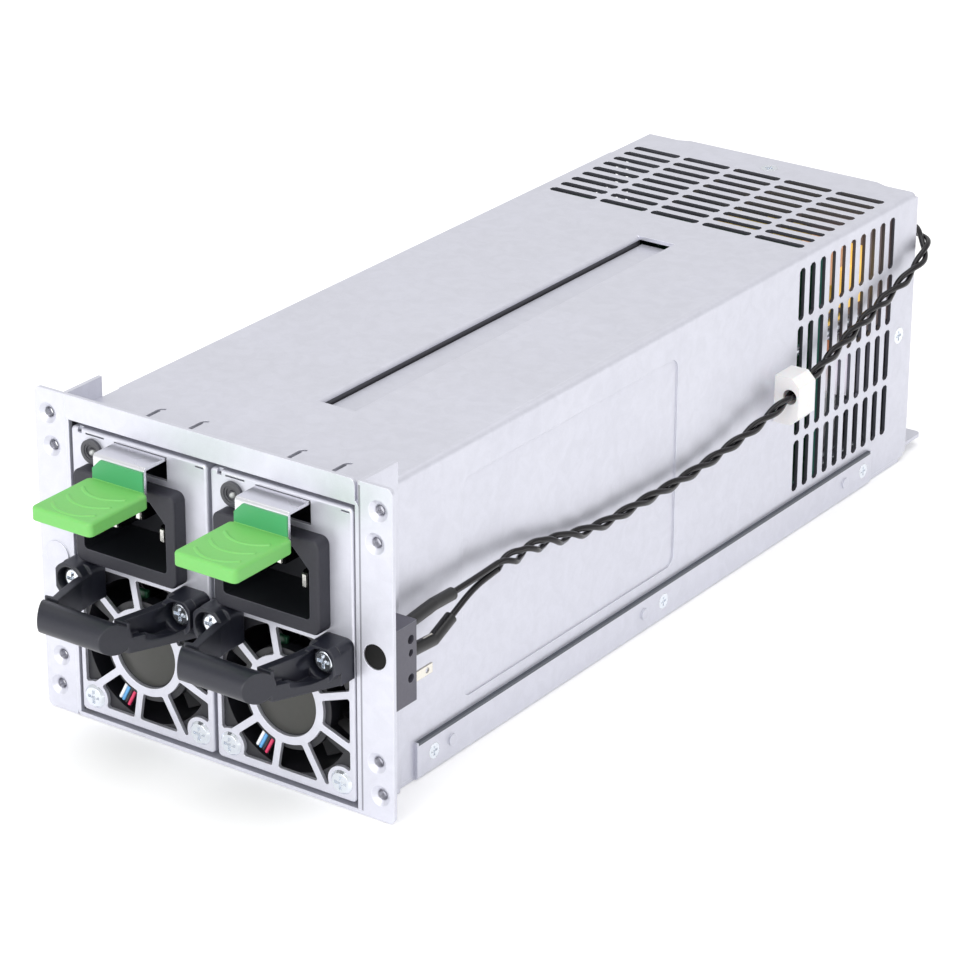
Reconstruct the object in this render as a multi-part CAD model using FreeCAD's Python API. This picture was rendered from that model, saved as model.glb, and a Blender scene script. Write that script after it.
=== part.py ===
import FreeCAD, Part
import math
import os

from FreeCAD import Vector

os.makedirs("parts", exist_ok=True)

# Two 40 mm wide supplies stand side by side in a folded steel cage that bolts to the rear of a
# 2U server. X runs to the right as seen from the front, Y to the rear, Z up. The origin is on the
# floor, midway between the two rack ears, in the plane of their front faces.

# Sheets, screws and clearances
steel = 1.0                 # cage, ears and rear panel
front_sheet = 1.0           # front of a supply
case_sheet = 0.7
board_sheet = 1.6
slide_gap = 0.3             # running clearance of whatever slides
shaft_fit = 0.05
screw_radius = 1.45
screw_clearance = 0.15
pan_head_radius = 2.75
pan_head_height = 1.9

# Stack of one supply, from its bottom up: fan, mains inlet, release lever
fan_size = 38.0
fan_base = 1.35             # fan above the bottom of the supply
inlet_gap = 2.1             # fan to inlet
inlet_height = 23.2
inlet_head = 8.35           # inlet to the top of the supply
case_length = 176.4         # front face to the rear of its case
card_reach = 8.6            # end of the card edge behind the case
case_shy = 0.3              # case narrower than its front on each side
front_depth = 6.0           # returned rim of the front
front_round = 1.2
front_fold = 0.7            # outside of the fold between face and rim

# The cage
bay_gap = 1.0               # between the two supplies
wall_gap = 0.6              # front of a supply to the cage wall
roof_gap = 1.15             # top of a supply to the cage roof
bend_radius = 1.5           # outside of each fold
lap_height = 9.5            # flange of one shell folded over the other
lap_start = 20.0
lap_tail = 19.5             # end of the flange before the rear of the cage
lap_bend = 0.9
lap_screw_rise = 5.0
lap_head_radius = 2.0
lap_stud_radius = 1.45
runner_height = 0.75        # embossed rails that the supplies slide on
runner_width = 5.0
runner_offset = 12.0        # either side of a supply's centre
runner_tail = 4.4           # rails end this far before the rear of the cases
tongue_half = 32.8          # rear tongue of the roof
tongue_reach = 1.4
tongue_clip = 3.4
wall_reach = 1.3            # side walls behind the edge of the roof
lip_gap = 1.0               # end of the roof's front lip to the right ear
rear_tab_width = 14.0
rear_tab_reach = 12.5
rear_tab_rise = 2.3
rear_tab_corner = 1.6

# Shallow panel pressed into each side wall
recess_depth = 0.4
recess_start = 39.2
recess_end = 129.8
recess_low = 12.8
recess_high = 68.5
recess_corner = 3.0

# Guide flaps lanced out of roof and floor between the bays
flap_depth = 10.6
flap_start = 40.3
flap_tail = 0.1             # flaps end this far before the rear of the cases

# Rack ears
ear_rise = 5.1              # ears and lip above the roof
ear_width = 9.2             # flange beside the cage wall
ear_leg = 13.3              # depth of the leg on the cage wall
ear_corner = 1.6
outer_row_inset = 3.85      # M3 threads in two rectangles, from the ear's outer edge
outer_row_low = 6.3
outer_row_drop = 6.0
inner_row_inset = 4.8
inner_row_low = 14.3
inner_row_drop = 14.0
thread_radius = 1.25
thread_collar = 2.2         # plunged collar behind the ear
collar_depth = 1.3
dimple_radius = 2.6
dimple_depth = 0.9
button_inset = 5.1
button_height = 40.7
button_hole_radius = 3.1
knockout_radius = 3.5       # half-sheared disc in the left ear
knockout_rise = 0.3

# Ventilation
vent_length = 14.3
vent_width = 2.8
vent_clip = 0.75            # cut-off corners of each slot
vent_inset = 58.35          # first column of side slots before the rear of the cage
vent_pitch = 5.13
vent_columns = 10
vent_row_pitch = 15.95
vent_rows = 4
vent_low = 18.65            # centre of the lowest side row
roof_vent_rows = 9
roof_vent_columns = 5

# Fan and guard
fan_depth = 28.0
fan_hole_inset = 3.0        # 32 mm hole pitch
fan_duct_rim = 0.8
fan_flange = 4.0
fan_tip_gap = 0.5
fan_hub_radius = 10.5
fan_cup_wall = 1.6
fan_blades = 7
fan_shaft_radius = 1.5
stator_radius = 8.0
motor_base_radius = 12.6
motor_base = 3.2
rotor_gap = 0.8
rotor_tail = 2.5            # rotor ends this far before the rear of the fan
strut_angle = -118
strut_half = 1.9
strut_count = 4
lead_well = 1.2             # the struts lie this far behind the face of the fan
fan_lead_radius = 0.45
fan_lead_count = 4
guard_ring_radius = 11.0
guard_eye_radius = 9.0
guard_bar = 1.75
guard_bars = 9
guard_first = 20            # angle of the first bar
guard_lug = 3.9
guard_rim = 1.0             # opening inside the fan's outline, above and below
guard_side_rim = 0.5
guard_corner = 0.6
guard_head_radius = 3.0
guard_head_height = 0.6

# Mains inlet
inlet_width = 30.0
inlet_shift = -1.5          # beside the supply's centre
inlet_proud = 4.0
inlet_corner = 2.0
inlet_edge = 0.6
inlet_wall = 1.2            # shroud inside the bezel's outline
cavity_rise = 0.35          # above the middle of the bezel
cavity_width = 24.6
cavity_height = 16.8
cavity_depth = 16.5
cavity_corner = 4.5
pin_pitch = 14.0
pin_width = 2.0
pin_height = 4.0
pin_recess = 4.9            # tips behind the bezel's face
pin_taper = 1.2
earth_rise = 2.0
live_drop = 2.0

# Pull handle
handle_reach = 26.5
handle_half = 9.1           # grip, at its front
handle_grip_depth = 7.6
handle_grip_height = 7.4
handle_grip_drop = 1.45     # grip below the screws
handle_screw_rise = 0.9     # screws above the fan's own hole pitch
handle_leg_low = 5.45       # underside below the screws
handle_leg_high = 2.05
handle_wall_drop = 1.75     # outer wall of each leg ends this far below the screws
handle_floor = 1.5
handle_base = 4.2           # seat of the screw heads
handle_flange = 4.9
handle_flange_high = 4.0
handle_boss_radius = 4.6
handle_boss_depth = 7.4
head_well_radius = 3.5

# Release lever
lever_half = 7.45
lever_shift = 0.7
lever_sheet = 0.8
lever_gap = 0.45            # under the case roof
lever_pivot_y = 36.0
lever_front_y = 7.7
lever_fold = 0.9
lever_slot_drop = 7.0       # bottom of the slot below the top of the supply
pad_length = 20.3
pad_half = 8.8
pad_thickness = 3.5
pad_top = 7.0               # below the top of the supply
pad_corner = 1.4
pad_round = 0.8
pad_floor = 1.2             # plastic under the lever's blade
riser_sheet = 0.5
riser_height = 4.9
riser_clip = 2.4
ridge_radius = 8.4          # the grip ridges are arcs
ridge_wire = 0.7
ridge_rise = 0.22
ridge_pitch = 5.15
ridge_first = 8.3           # front face of the lever to the first ridge
tooth_offset = 6.3
tooth_width = 1.2
tooth_start = 9.0
tooth_end = 13.5
catch_hook = 1.7            # curved end of each slot over a tooth

# Status lamp and the relief slits in the top of a supply's front
lamp_radius = 2.4
lamp_collar = 3.0
lamp_proud = 0.8
lamp_eye = 1.6
lamp_inset = 6.5            # from the left edge of the supply
lamp_drop = 4.95
relief_width = 1.2
relief_inset = 2.1
relief_drop = 1.3
slit_height = 0.4
slit_start = 4.4            # from the left edge of the supply
slit_end = 9.9
slit_right = 3.3            # from the right edge

# Power board bay behind the supplies
card_gap = 1.6              # end of a card edge to the floor of its socket
socket_floor = 2.0
socket_length = 11.0
socket_half_z = 31.0
socket_half_x = 3.6
card_half = 28.5            # half of a card edge's height
card_inset = 4.2            # main board beside the left edge of its supply
converter_gap = 10.8        # between the two boards
board_side_gap = 1.5
board_floor_gap = 3.4
board_roof_gap = 2.8
spacer_radius = 2.6
spacer_inset = 4.0
spacer_rise = 39.0
coil_size = 18.0
coil_height = 20.5
coil_depth = 21.0
coil_gap = 2.0
coil_inset = 3.6
can_radius = 4.0
can_length = 20.0
can_pitch = 10.0
connector_width = 24.0
connector_depth = 17.0
connector_height = 14.5
connector_rise = 25.1
sink_width = 18.0
sink_depth = 24.0
panel_gap = 18.4            # heat sink to the rear panel
sink_base = 2.0
sink_rise = 3.6
fin_height = 15.0
fin_sheet = 1.0
fin_count = 5

# On each supply's main board
bulk_radius = 12.0
bulk_length = 42.0
bulk_start = 15.0           # behind the fan
bulk_offset = 13.75         # either side of the middle height
core_depth = 26.0
core_length = 26.0
core_height = 34.0
core_gap = 10.0
core_leg = 8.0
rib_depth = 24.0
rib_sheet = 1.6
rib_count = 5
rib_length = 34.0
rib_gap = 8.0
rib_inset = 10.0

# Rear panel
panel_flange = 7.0
panel_flange_half = 20.0
panel_screw_inset = 3.6
panel_screw_height = 38.1
panel_head_radius = 2.3
outlet_half = 16.0
outlet_x = -15.0
outlet_low = 20.0
outlet_high = 40.0
outlet_lining = 1.2
outlet_flange = 1.5
pair_grommet_neck = 3.4
grommet_wall = 1.4

# Reset switch on the right ear
switch_width = 6.4
switch_front = 2.4
switch_depth = 9.0
switch_height = 19.8
switch_drop = 14.1          # below the button's centre
button_radius = 2.9
button_travel = 1.0
plunger_radius = 1.2
terminal_first = 3.6
terminal_pitch = 7.3
terminal_length = 9.0
terminal_shift = 0.6
sleeve_radius = 1.55
lead_radius = 0.75
lead_offset = 0.77          # each lead beside the middle of the pair
lead_hold = 2.5             # length of lead inside its sleeve
pair_radius = 1.5
pair_hole_inset = 19.5      # where the pair enters the rear panel, from the wall
pair_hole_drop = 13.2
clip_lead = 8.05            # clip before the first column of slots
clip_rise = 41.85
clip_eye_reach = 4.7        # eye of the clip, from the wall
clip_eye_rise = 44.05
clip_reach = 7.2
clip_depth = 8.2
clip_height = 12.9
clip_corner = 2.2

# Sizes that follow
unit_width = fan_size + 2 * front_sheet
unit_height = fan_base + fan_size + inlet_gap + inlet_height + inlet_head
bay_pitch = unit_width + bay_gap
wall_inner = bay_pitch / 2 + unit_width / 2 + wall_gap
wall_outer = wall_inner + steel
unit_low = steel + runner_height + slide_gap
unit_top = unit_low + unit_height
unit_middle = unit_low + unit_height / 2
roof_low = unit_top + roof_gap
roof_top = roof_low + steel
ear_height = roof_top + ear_rise
ear_reach = wall_outer + ear_width
button_x = ear_reach - button_inset
case_half = unit_width / 2 - case_shy
fan_z = unit_low + fan_base + fan_size / 2
fan_hole = fan_size / 2 - fan_hole_inset
fan_duct_radius = fan_size / 2 - fan_duct_rim
fan_end = front_sheet + fan_depth
rotor_start = front_sheet + motor_base + rotor_gap
rotor_end = fan_end - rotor_tail
handle_z = fan_z + fan_hole + handle_screw_rise
inlet_z = unit_top - inlet_head - inlet_height / 2
cavity_z = inlet_z + cavity_rise
unit_length = case_length + card_reach
backplane_y = unit_length + card_gap + socket_floor
converter_y = backplane_y + board_sheet + converter_gap
converter_rear = converter_y + board_sheet
panel_y = converter_rear + sink_depth + panel_gap
cage_length = panel_y + 2 * steel
lap_end = cage_length - lap_tail
runner_end = case_length - runner_tail
flap_end = case_length - flap_tail
vent_start = cage_length - vent_inset
clip_y = vent_start - clip_lead
board_half = wall_inner - board_side_gap
board_low = steel + board_floor_gap
board_high = roof_low - board_roof_gap
card_x = card_inset - unit_width / 2
pair_hole_x = wall_inner - pair_hole_inset
pair_hole_z = roof_low - pair_hole_drop
switch_rear = switch_front + switch_depth
switch_low = button_height - switch_drop
switch_high = switch_low + switch_height
terminal_heights = [switch_low + terminal_first + number * terminal_pitch for number in range(3)]
lap_screws = [lap_start + 6.6, (lap_start + lap_end) / 2 + 0.4, lap_end - 4.1]
lap_studs = [lap_start + 13.5, (lap_start + lap_end) / 2 - 8.5, lap_end - 14.0]
spacer_spots = [(side * (board_half - spacer_inset), board_low + spacer_inset + level * spacer_rise)
                for side in (-1, 1) for level in (0, 1)]
front = Vector(0, -1, 0)
rear = Vector(0, 1, 0)
up = Vector(0, 0, 1)
right = Vector(1, 0, 0)

# Points of the sleeves and leads behind the switch, then of the twisted pair: along the right wall,
# through the clip, up and round the rear edge
sleeve_x = wall_outer + steel + switch_width / 2 + terminal_shift
pair_start = Vector(wall_outer + 4.3, 46.9, 45.0)
upper_sleeve = [Vector(sleeve_x, switch_rear + 0.3, terminal_heights[2]),
                Vector(sleeve_x, 20.9, 45.7), Vector(sleeve_x - 0.1, 28.4, 45.4)]
lower_sleeve = [Vector(sleeve_x, switch_rear + 0.3, terminal_heights[1]),
                Vector(sleeve_x, 21.0, 36.9), Vector(sleeve_x - 0.1, 27.9, 39.7)]
upper_lead = [Vector(sleeve_x - 0.2, 37.0, 45.6), pair_start + Vector(0, -0.4, lead_offset)]
lower_lead = [Vector(sleeve_x - 0.2, 37.0, 43.5), pair_start + Vector(0, -0.4, -lead_offset)]
pair_route = [
    pair_start, Vector(wall_outer + 3.6, 62.5, 44.4), Vector(wall_outer + 3.1, 76.0, 41.0),
    Vector(wall_outer + 2.9, 92.5, 37.9), Vector(wall_outer + 3.1, 110.0, 37.9),
    Vector(wall_outer + 2.9, 128.5, 37.1), Vector(wall_outer + 3.2, 145.5, 38.1),
    Vector(wall_outer + 4.0, 160.5, 39.9), Vector(wall_outer + 4.8, 178.5, 43.6),
    Vector(wall_outer + 4.6, 193.0, 46.7), Vector(wall_outer + 3.5, 207.5, 49.6),
    Vector(wall_outer + 3.1, 224.0, 53.2), Vector(wall_outer + 3.6, 238.5, 56.8),
    Vector(wall_outer + 3.3, 251.0, 61.8), Vector(wall_outer - 7.8, 258.8, 63.8),
    Vector(pair_hole_x, 252.0, pair_hole_z), Vector(pair_hole_x, 238.8, pair_hole_z)]


def block(x0, x1, y0, y1, z0, z1):
    """A box between two corners, given axis by axis."""
    return Part.makeBox(x1 - x0, y1 - y0, z1 - z0, Vector(x0, y0, z0))


def rod(radius, start, direction, length):
    return Part.makeCylinder(radius, length, start, direction)


def cone(radius_start, radius_end, start, direction, length):
    return Part.makeCone(radius_start, radius_end, length, start, direction)


def prism(points, direction):
    """A polygon of points, swept along direction."""
    return Part.Face(Part.makePolygon(points + points[:1])).extrude(direction)


def plan_prism(outline, low, high):
    """An outline of (x, y) pairs, raised from low to high."""
    return prism([Vector(x, y, low) for x, y in outline], up * (high - low))


def edges_near(shape, direction, spots):
    """The straight edges that run along direction through one of the spots."""
    found = []
    for edge in shape.Edges:
        if edge.Curve.TypeId != "Part::GeomLine":
            continue
        if abs(edge.tangentAt(edge.FirstParameter).dot(direction)) < 0.999:
            continue
        middle = (edge.valueAt(edge.FirstParameter) + edge.valueAt(edge.LastParameter)) / 2
        for spot in spots:
            away = middle - spot
            away = away - direction * away.dot(direction)
            if away.Length < 0.02:
                found.append(edge)
                break
    return found


def rounded(shape, radius, direction, spots):
    """The shape with its edges through the spots, along direction, rounded over."""
    return shape.makeFillet(radius, edges_near(shape, direction, spots))


def soft_block(x0, x1, y0, y1, z0, z1, radius, direction):
    """A box whose four edges along direction are rounded."""
    spots = [Vector(x, y, z) for x in (x0, x1) for y in (y0, y1) for z in (z0, z1)]
    return rounded(block(x0, x1, y0, y1, z0, z1), radius, direction, spots)


def vent(centre, along, across, through):
    """Cutter for a punched slot with clipped ends; through is its depth, both ways."""
    half = vent_length / 2
    side = vent_width / 2
    end = half - vent_clip
    flat = side - vent_clip
    outline = [(-end, -side), (end, -side), (half, -flat), (half, flat),
               (end, side), (-end, side), (-half, flat), (-half, -flat)]
    points = [centre + along * a + across * b - through for a, b in outline]
    return prism(points, through * 2)


def cross_recess(centre, direction, size, depth):
    """Cutter for the cross in a screw head."""
    side = direction.cross(up) if abs(direction.dot(up)) < 0.9 else right
    other = direction.cross(side)
    bars = []
    for a, b in ((side, other), (other, side)):
        corner = centre - a * (size / 2) - b * (size / 8)
        points = [corner, corner + a * size, corner + a * size + b * (size / 4), corner + b * (size / 4)]
        bars.append(prism(points, direction * -depth))
    return bars[0].fuse(bars[1])


def pan_screw(seat, direction, shank):
    """Pan head screw: head stands out along direction from its seat, shank goes the other way."""
    head = rod(pan_head_radius, seat, direction, pan_head_height)
    rim = [edge for edge in head.Edges if edge.Closed
           and abs((edge.CenterOfMass - seat).dot(direction) - pan_head_height) < 0.01]
    head = head.makeFillet(pan_head_height * 0.45, rim)
    top = seat + direction * pan_head_height
    body = head.fuse(rod(screw_radius, seat, direction * -1, shank))
    return body.cut(cross_recess(top, direction, pan_head_radius * 1.25, pan_head_height * 0.5))


def flat_screw(surface, direction, shank, head_radius):
    """Countersunk screw, flush with the surface that its head is set in."""
    depth = head_radius - screw_radius
    head = cone(head_radius, screw_radius, surface, direction * -1, depth)
    body = head.fuse(rod(screw_radius, surface - direction * depth, direction * -1, shank - depth))
    return body.cut(cross_recess(surface, direction, head_radius * 1.2, depth * 0.5))


def save(name, shape):
    shape.exportStep("parts/" + name + ".step")


def group(shapes):
    return Part.makeCompound(shapes)


def tube_path(points):
    """Straight runs joined by tangent arcs, each as large as its two runs allow."""
    edges = []
    last = points[0]
    radii = []
    for before, corner, after in zip(points, points[1:], points[2:]):
        run_in = corner - before
        run_out = after - corner
        shorter = min(run_in.Length, run_out.Length)
        turn = run_in.getAngle(run_out)
        reach = 0.45 * shorter
        radii.append(reach / math.tan(turn / 2))
        run_in.normalize()
        run_out.normalize()
        start = corner - run_in * reach
        end = corner + run_out * reach
        inward = (run_out - run_in).normalize()
        sagitta = radii[-1] / math.cos(turn / 2) - radii[-1]
        edges.append(Part.LineSegment(last, start).toShape())
        edges.append(Part.Arc(start, corner + inward * sagitta, end).toShape())
        last = end
    edges.append(Part.LineSegment(last, points[-1]).toShape())
    return Part.Wire(edges), radii


def tube(points, radius):
    """A round lead of the given radius along the points."""
    wire, radii = tube_path(points)
    print(" ".join("%.1f" % bend for bend in radii))
    heading = points[1] - points[0]
    ring = Part.Wire(Part.makeCircle(radius, points[0], heading))
    lead = wire.makePipeShell([ring], True, True)
    print("lead: radii from %.1f to %.1f, length %.1f, volume over section %.1f"
          % (min(radii), max(radii), wire.Length, lead.Volume / (math.pi * radius ** 2)))
    return lead


# The cage

def sunk_hole(mouth, inward, head_radius):
    """Countersunk hole for a flush screw, through a sheet and the one behind it."""
    sink = cone(head_radius + shaft_fit, screw_radius + shaft_fit, mouth, inward, head_radius - screw_radius)
    return sink.fuse(rod(screw_radius + shaft_fit, mouth, inward, 2 * steel + 1))


def lap_holes(side, height):
    """Countersunk hole in a lap, and the thread in the wall under it, for each lap screw."""
    outside = wall_outer + steel
    return [sunk_hole(Vector(side * outside, y, height), right * -side, lap_head_radius)
            for y in lap_screws]


def lap_bumps(side, height):
    """Half-sheared studs that line the two shells up."""
    outside = wall_outer + steel
    return [rod(lap_stud_radius, Vector(side * outside, y, height), right * side, steel / 2)
            for y in lap_studs]


def side_vents(side):
    cutters = []
    for column in range(vent_columns):
        for row in range(vent_rows):
            centre = Vector(side * (wall_outer - steel / 2), vent_start + column * vent_pitch,
                            vent_low + row * vent_row_pitch)
            cutters.append(vent(centre, up, rear, right * steel))
    return cutters


def roof_vents():
    cutters = []
    for row in range(roof_vent_rows):
        for column in range(roof_vent_columns):
            x = (column - (roof_vent_columns - 1) / 2) * vent_row_pitch
            y = vent_start + (row + vent_columns - roof_vent_rows) * vent_pitch
            cutters.append(vent(Vector(x, y, roof_top - steel / 2), right, rear, up * steel))
    return cutters


def guide_flap(outside, inside, tip):
    """Flap between the bays, folded from the sheet whose two faces are at outside and inside."""
    section = [(-steel, outside), (-steel, inside), (-steel / 2, inside), (-steel / 2, tip),
               (steel / 2, tip), (steel / 2, outside)]
    flap = prism([Vector(x, flap_start, z) for x, z in section], rear * (flap_end - flap_start))
    return rounded(flap, steel * 1.2, rear, [Vector(steel / 2, 0, outside)])


def flap_window(z_low):
    """Opening that the flap leaves in its sheet."""
    return block(-steel, steel / 2 + flap_depth, flap_start, flap_end, z_low - 1, z_low + steel + 1)


def catch_slots():
    """Slots in the cage roof over the teeth of each lever, each with a curved relief at its rear."""
    cutters = []
    low, height = roof_low - 1, steel + 2
    half = tooth_width / 2
    bend_y = tooth_end + 1.0
    for unit_x in (-bay_pitch / 2, bay_pitch / 2):
        for side in (-1, 1):
            x = unit_x + lever_shift + side * tooth_offset
            slot = block(x - half, x + half, tooth_start + 1.0, bend_y, low, low + height)
            centre = Vector(x - half + catch_hook, bend_y, low)
            hook = Part.makeCylinder(catch_hook, height, centre, up, 90)
            hook = hook.cut(Part.makeCylinder(catch_hook - 0.9, height, centre, up, 90))
            hook.rotate(centre, up, 90)
            cutters.append(slot.fuse(hook))
    return cutters


def recess(side, surface):
    """Shallow stiffening panel pressed inwards in a cage wall, from one of the wall's surfaces."""
    x0, x1 = sorted((side * surface, side * (surface - recess_depth)))
    return soft_block(x0, x1, recess_start, recess_end, recess_low, recess_high, recess_corner, right)


def panel_hole(side):
    """Hole in a side wall and in the panel's flange behind it for the panel's screw."""
    mouth = Vector(side * wall_outer, panel_y - panel_screw_inset, panel_screw_height)
    return sunk_hole(mouth, right * -side, panel_head_radius)


def roof_panel_hole():
    return sunk_hole(Vector(0, panel_y - panel_screw_inset, roof_top), up * -1, panel_head_radius)


def rear_tongue():
    """Tongue of the roof over the rear panel, its corners clipped."""
    tip = cage_length + tongue_reach
    outline = [(-tongue_half, cage_length - 1), (tongue_half, cage_length - 1), (tongue_half, cage_length),
               (tongue_half - tongue_clip, tip), (tongue_clip - tongue_half, tip),
               (-tongue_half, cage_length)]
    return plan_prism(outline, roof_low, roof_top)


def top_shell():
    """Roof, right wall, front lip and the lap over the left wall, folded from one sheet."""
    outline = [(-wall_outer, roof_low), (wall_inner, roof_low), (wall_inner, steel),
               (wall_outer, steel), (wall_outer, roof_top), (-wall_outer, roof_top)]
    shell = prism([Vector(x, 0, z) for x, z in outline], rear * cage_length)
    shell = rounded(shell, bend_radius, rear, [Vector(wall_outer, 0, roof_top)])
    lap_x = wall_outer + steel
    lap = block(-lap_x, -wall_outer, lap_start, lap_end, roof_top - lap_height, roof_top)
    lap = rounded(lap, lap_bend, rear, [Vector(-lap_x, 0, roof_top)])
    lip = block(-wall_outer, wall_outer - lip_gap, 0, steel, roof_top - steel / 2, ear_height)
    lip = rounded(lip, ear_corner, rear, [Vector(wall_outer - lip_gap, 0, ear_height)])
    wall_end = block(wall_inner, wall_outer, cage_length - 1, cage_length + wall_reach, 2 * steel,
                     roof_top - bend_radius)
    shell = shell.cut(flap_window(roof_low))
    shell = shell.fuse([lap, lip, rear_tongue(), wall_end, recess(1, wall_inner),
                        guide_flap(roof_top, roof_low, roof_top - flap_depth)])
    shell = shell.fuse(lap_bumps(-1, roof_top - lap_screw_rise))
    cutters = side_vents(1) + roof_vents() + catch_slots() + lap_holes(1, lap_screw_rise)
    cutters += lap_holes(-1, roof_top - lap_screw_rise)
    cutters += [recess(1, wall_outer), roof_panel_hole(), panel_hole(1)]
    return shell.cut(cutters)


def rear_tab(side):
    """Tongue stepped up from the floor; it slips under a bridge in the server chassis."""
    outer = wall_inner - slide_gap
    x0, x1 = sorted((side * outer, side * (outer - rear_tab_width)))
    y_step = cage_length - rear_tab_rise
    y_end = cage_length + rear_tab_reach
    section = [(y_step - 1, 0), (y_step, 0), (cage_length, rear_tab_rise), (y_end, rear_tab_rise),
               (y_end, rear_tab_rise + steel), (cage_length, rear_tab_rise + steel),
               (y_step, steel), (y_step - 1, steel)]
    tab = prism([Vector(x0, y, z) for y, z in section], right * (x1 - x0))
    return rounded(tab, rear_tab_corner, up, [Vector(x0, y_end, 0), Vector(x1, y_end, 0)])


def runners(low, high, inset):
    """The rails pressed up from the floor, or with an inset the grooves under them."""
    half = runner_width / 2 - inset
    rails = []
    for unit_x in (-bay_pitch / 2, bay_pitch / 2):
        for side in (-1, 1):
            x = unit_x + side * runner_offset
            rails.append(block(x - half, x + half, front_depth + inset, runner_end - inset, low, high))
    return rails


def bottom_shell():
    """Floor, left wall and the lap over the right wall, folded from one sheet."""
    outline = [(wall_outer, 0), (-wall_outer, 0), (-wall_outer, roof_low), (-wall_inner, roof_low),
               (-wall_inner, steel), (wall_outer, steel)]
    step_y = cage_length - rear_tab_rise
    shell = prism([Vector(x, 0, z) for x, z in outline], rear * step_y)
    shell = rounded(shell, bend_radius, rear, [Vector(-wall_outer, 0, 0)])
    wall_end = block(-wall_outer, -wall_inner, step_y, cage_length + wall_reach, 2 * steel, roof_low)
    lap_x = wall_outer + steel
    lap = block(wall_outer, lap_x, lap_start, lap_end, 0, lap_height)
    lap = rounded(lap, lap_bend, rear, [Vector(lap_x, 0, 0)])
    floor_end = block(rear_tab_width - wall_outer, wall_outer - rear_tab_width, step_y, cage_length, 0, steel)
    shell = shell.cut(flap_window(0))
    shell = shell.fuse([wall_end, lap, floor_end, recess(-1, wall_inner), guide_flap(0, steel, flap_depth),
                        rear_tab(-1), rear_tab(1)] + runners(steel / 2, steel + runner_height, 0))
    shell = shell.fuse(lap_bumps(1, lap_screw_rise))
    cutters = side_vents(-1) + lap_holes(1, lap_screw_rise)
    cutters += lap_holes(-1, roof_top - lap_screw_rise)
    cutters += runners(-1, runner_height, steel)
    cutters += [recess(-1, wall_outer), panel_hole(-1)]
    return shell.cut(cutters)


def ear(side):
    """Rack ear: a flange with four plunged M3 threads on a leg welded to the cage wall."""
    x0, x1 = sorted((side * wall_outer, side * ear_reach))
    flange = block(x0, x1, 0, steel, 0, ear_height)
    flange = rounded(flange, ear_corner, rear, [Vector(side * ear_reach, 0, 0),
                                                Vector(side * ear_reach, 0, ear_height)])
    x0, x1 = sorted((side * wall_outer, side * (wall_outer + steel)))
    leg = block(x0, x1, 0, ear_leg, 0, ear_height)
    shape = flange.fuse(leg)
    cutters = []
    for inset, heights in ((outer_row_inset, (outer_row_low, ear_height - outer_row_drop)),
                           (inner_row_inset, (inner_row_low, ear_height - inner_row_drop))):
        for z in heights:
            centre = Vector(side * (ear_reach - inset), 0, z)
            shape = shape.fuse(rod(thread_collar, centre + rear * (steel / 2), rear, collar_depth + steel / 2))
            cutters.append(cone(dimple_radius, thread_radius, centre, rear, dimple_depth))
            cutters.append(rod(thread_radius, centre - rear, rear, 6))
    button_centre = Vector(side * button_x, 0, button_height)
    if side > 0:
        cutters.append(rod(button_hole_radius, button_centre - rear, rear, 3))
    else:
        shape = shape.fuse(rod(knockout_radius, button_centre + front * knockout_rise, rear, steel))
    return shape.cut(cutters).removeSplitter()


def rear_panel():
    """Rear wall with forward flanges; the output leads and the switch pair pass through it."""
    low = rear_tab_rise + steel + slide_gap
    y0, y1 = panel_y - panel_flange, panel_y + steel
    flange_low, flange_high = low + 3, roof_low - 3
    panel = block(-wall_inner, wall_inner, panel_y, y1, low, roof_low)
    flanges = [block(-wall_inner, steel - wall_inner, y0, y1, flange_low, flange_high),
               block(wall_inner - steel, wall_inner, y0, y1, flange_low, flange_high),
               block(-panel_flange_half, panel_flange_half, y0, y1, roof_low - steel, roof_low)]
    foot_half = wall_outer - rear_tab_width - 2
    foot = block(-foot_half, foot_half, panel_y, y1, steel, low)
    panel = panel.fuse(flanges + [foot])
    grommet_seat = Vector(pair_hole_x, panel_y - 1, pair_hole_z)
    cutters = [block(outlet_x - outlet_half, outlet_x + outlet_half, panel_y - 1, panel_y + 3,
                     outlet_low, outlet_high),
               rod(pair_grommet_neck + shaft_fit, grommet_seat, rear, 4),
               roof_panel_hole(), panel_hole(-1), panel_hole(1)]
    for x, z in spacer_spots:
        cutters.append(rod(screw_radius + shaft_fit, Vector(x, panel_y - 1, z), rear, 4))
    return panel.cut(cutters).removeSplitter()


def pair_grommet():
    """Rubber grommet snapped into the rear panel round the switch pair."""
    centre = Vector(pair_hole_x, panel_y - 1, pair_hole_z)
    rim = pair_grommet_neck + grommet_wall
    body = rod(rim, centre, rear, steel + 2)
    waist = rod(rim + 1, centre + rear, rear, steel)
    waist = waist.cut(rod(pair_grommet_neck, centre, rear, steel + 2))
    return body.cut([waist, rod(pair_radius + shaft_fit, centre - rear, rear, steel + 4)])


def outlet_lining_shape():
    """Plastic edging round the opening for the output leads."""
    low, high = outlet_low, outlet_high
    x0, x1 = outlet_x - outlet_half, outlet_x + outlet_half
    flange = block(x0 - outlet_flange, x1 + outlet_flange, panel_y + steel, panel_y + steel + 1,
                   low - outlet_flange, high + outlet_flange)
    neck = block(x0, x1, panel_y - 1, panel_y + steel, low, high)
    hole = block(x0 + outlet_lining, x1 - outlet_lining, panel_y - 2, panel_y + 4,
                 low + outlet_lining, high - outlet_lining)
    return flange.fuse(neck).cut(hole)


def lap_screw_set():
    screws = []
    for side, height in ((1, lap_screw_rise), (-1, roof_top - lap_screw_rise)):
        for y in lap_screws:
            surface = Vector(side * (wall_outer + steel), y, height)
            screws.append(flat_screw(surface, right * side, 2 * steel + 0.3, lap_head_radius))
    return group(screws)


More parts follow.
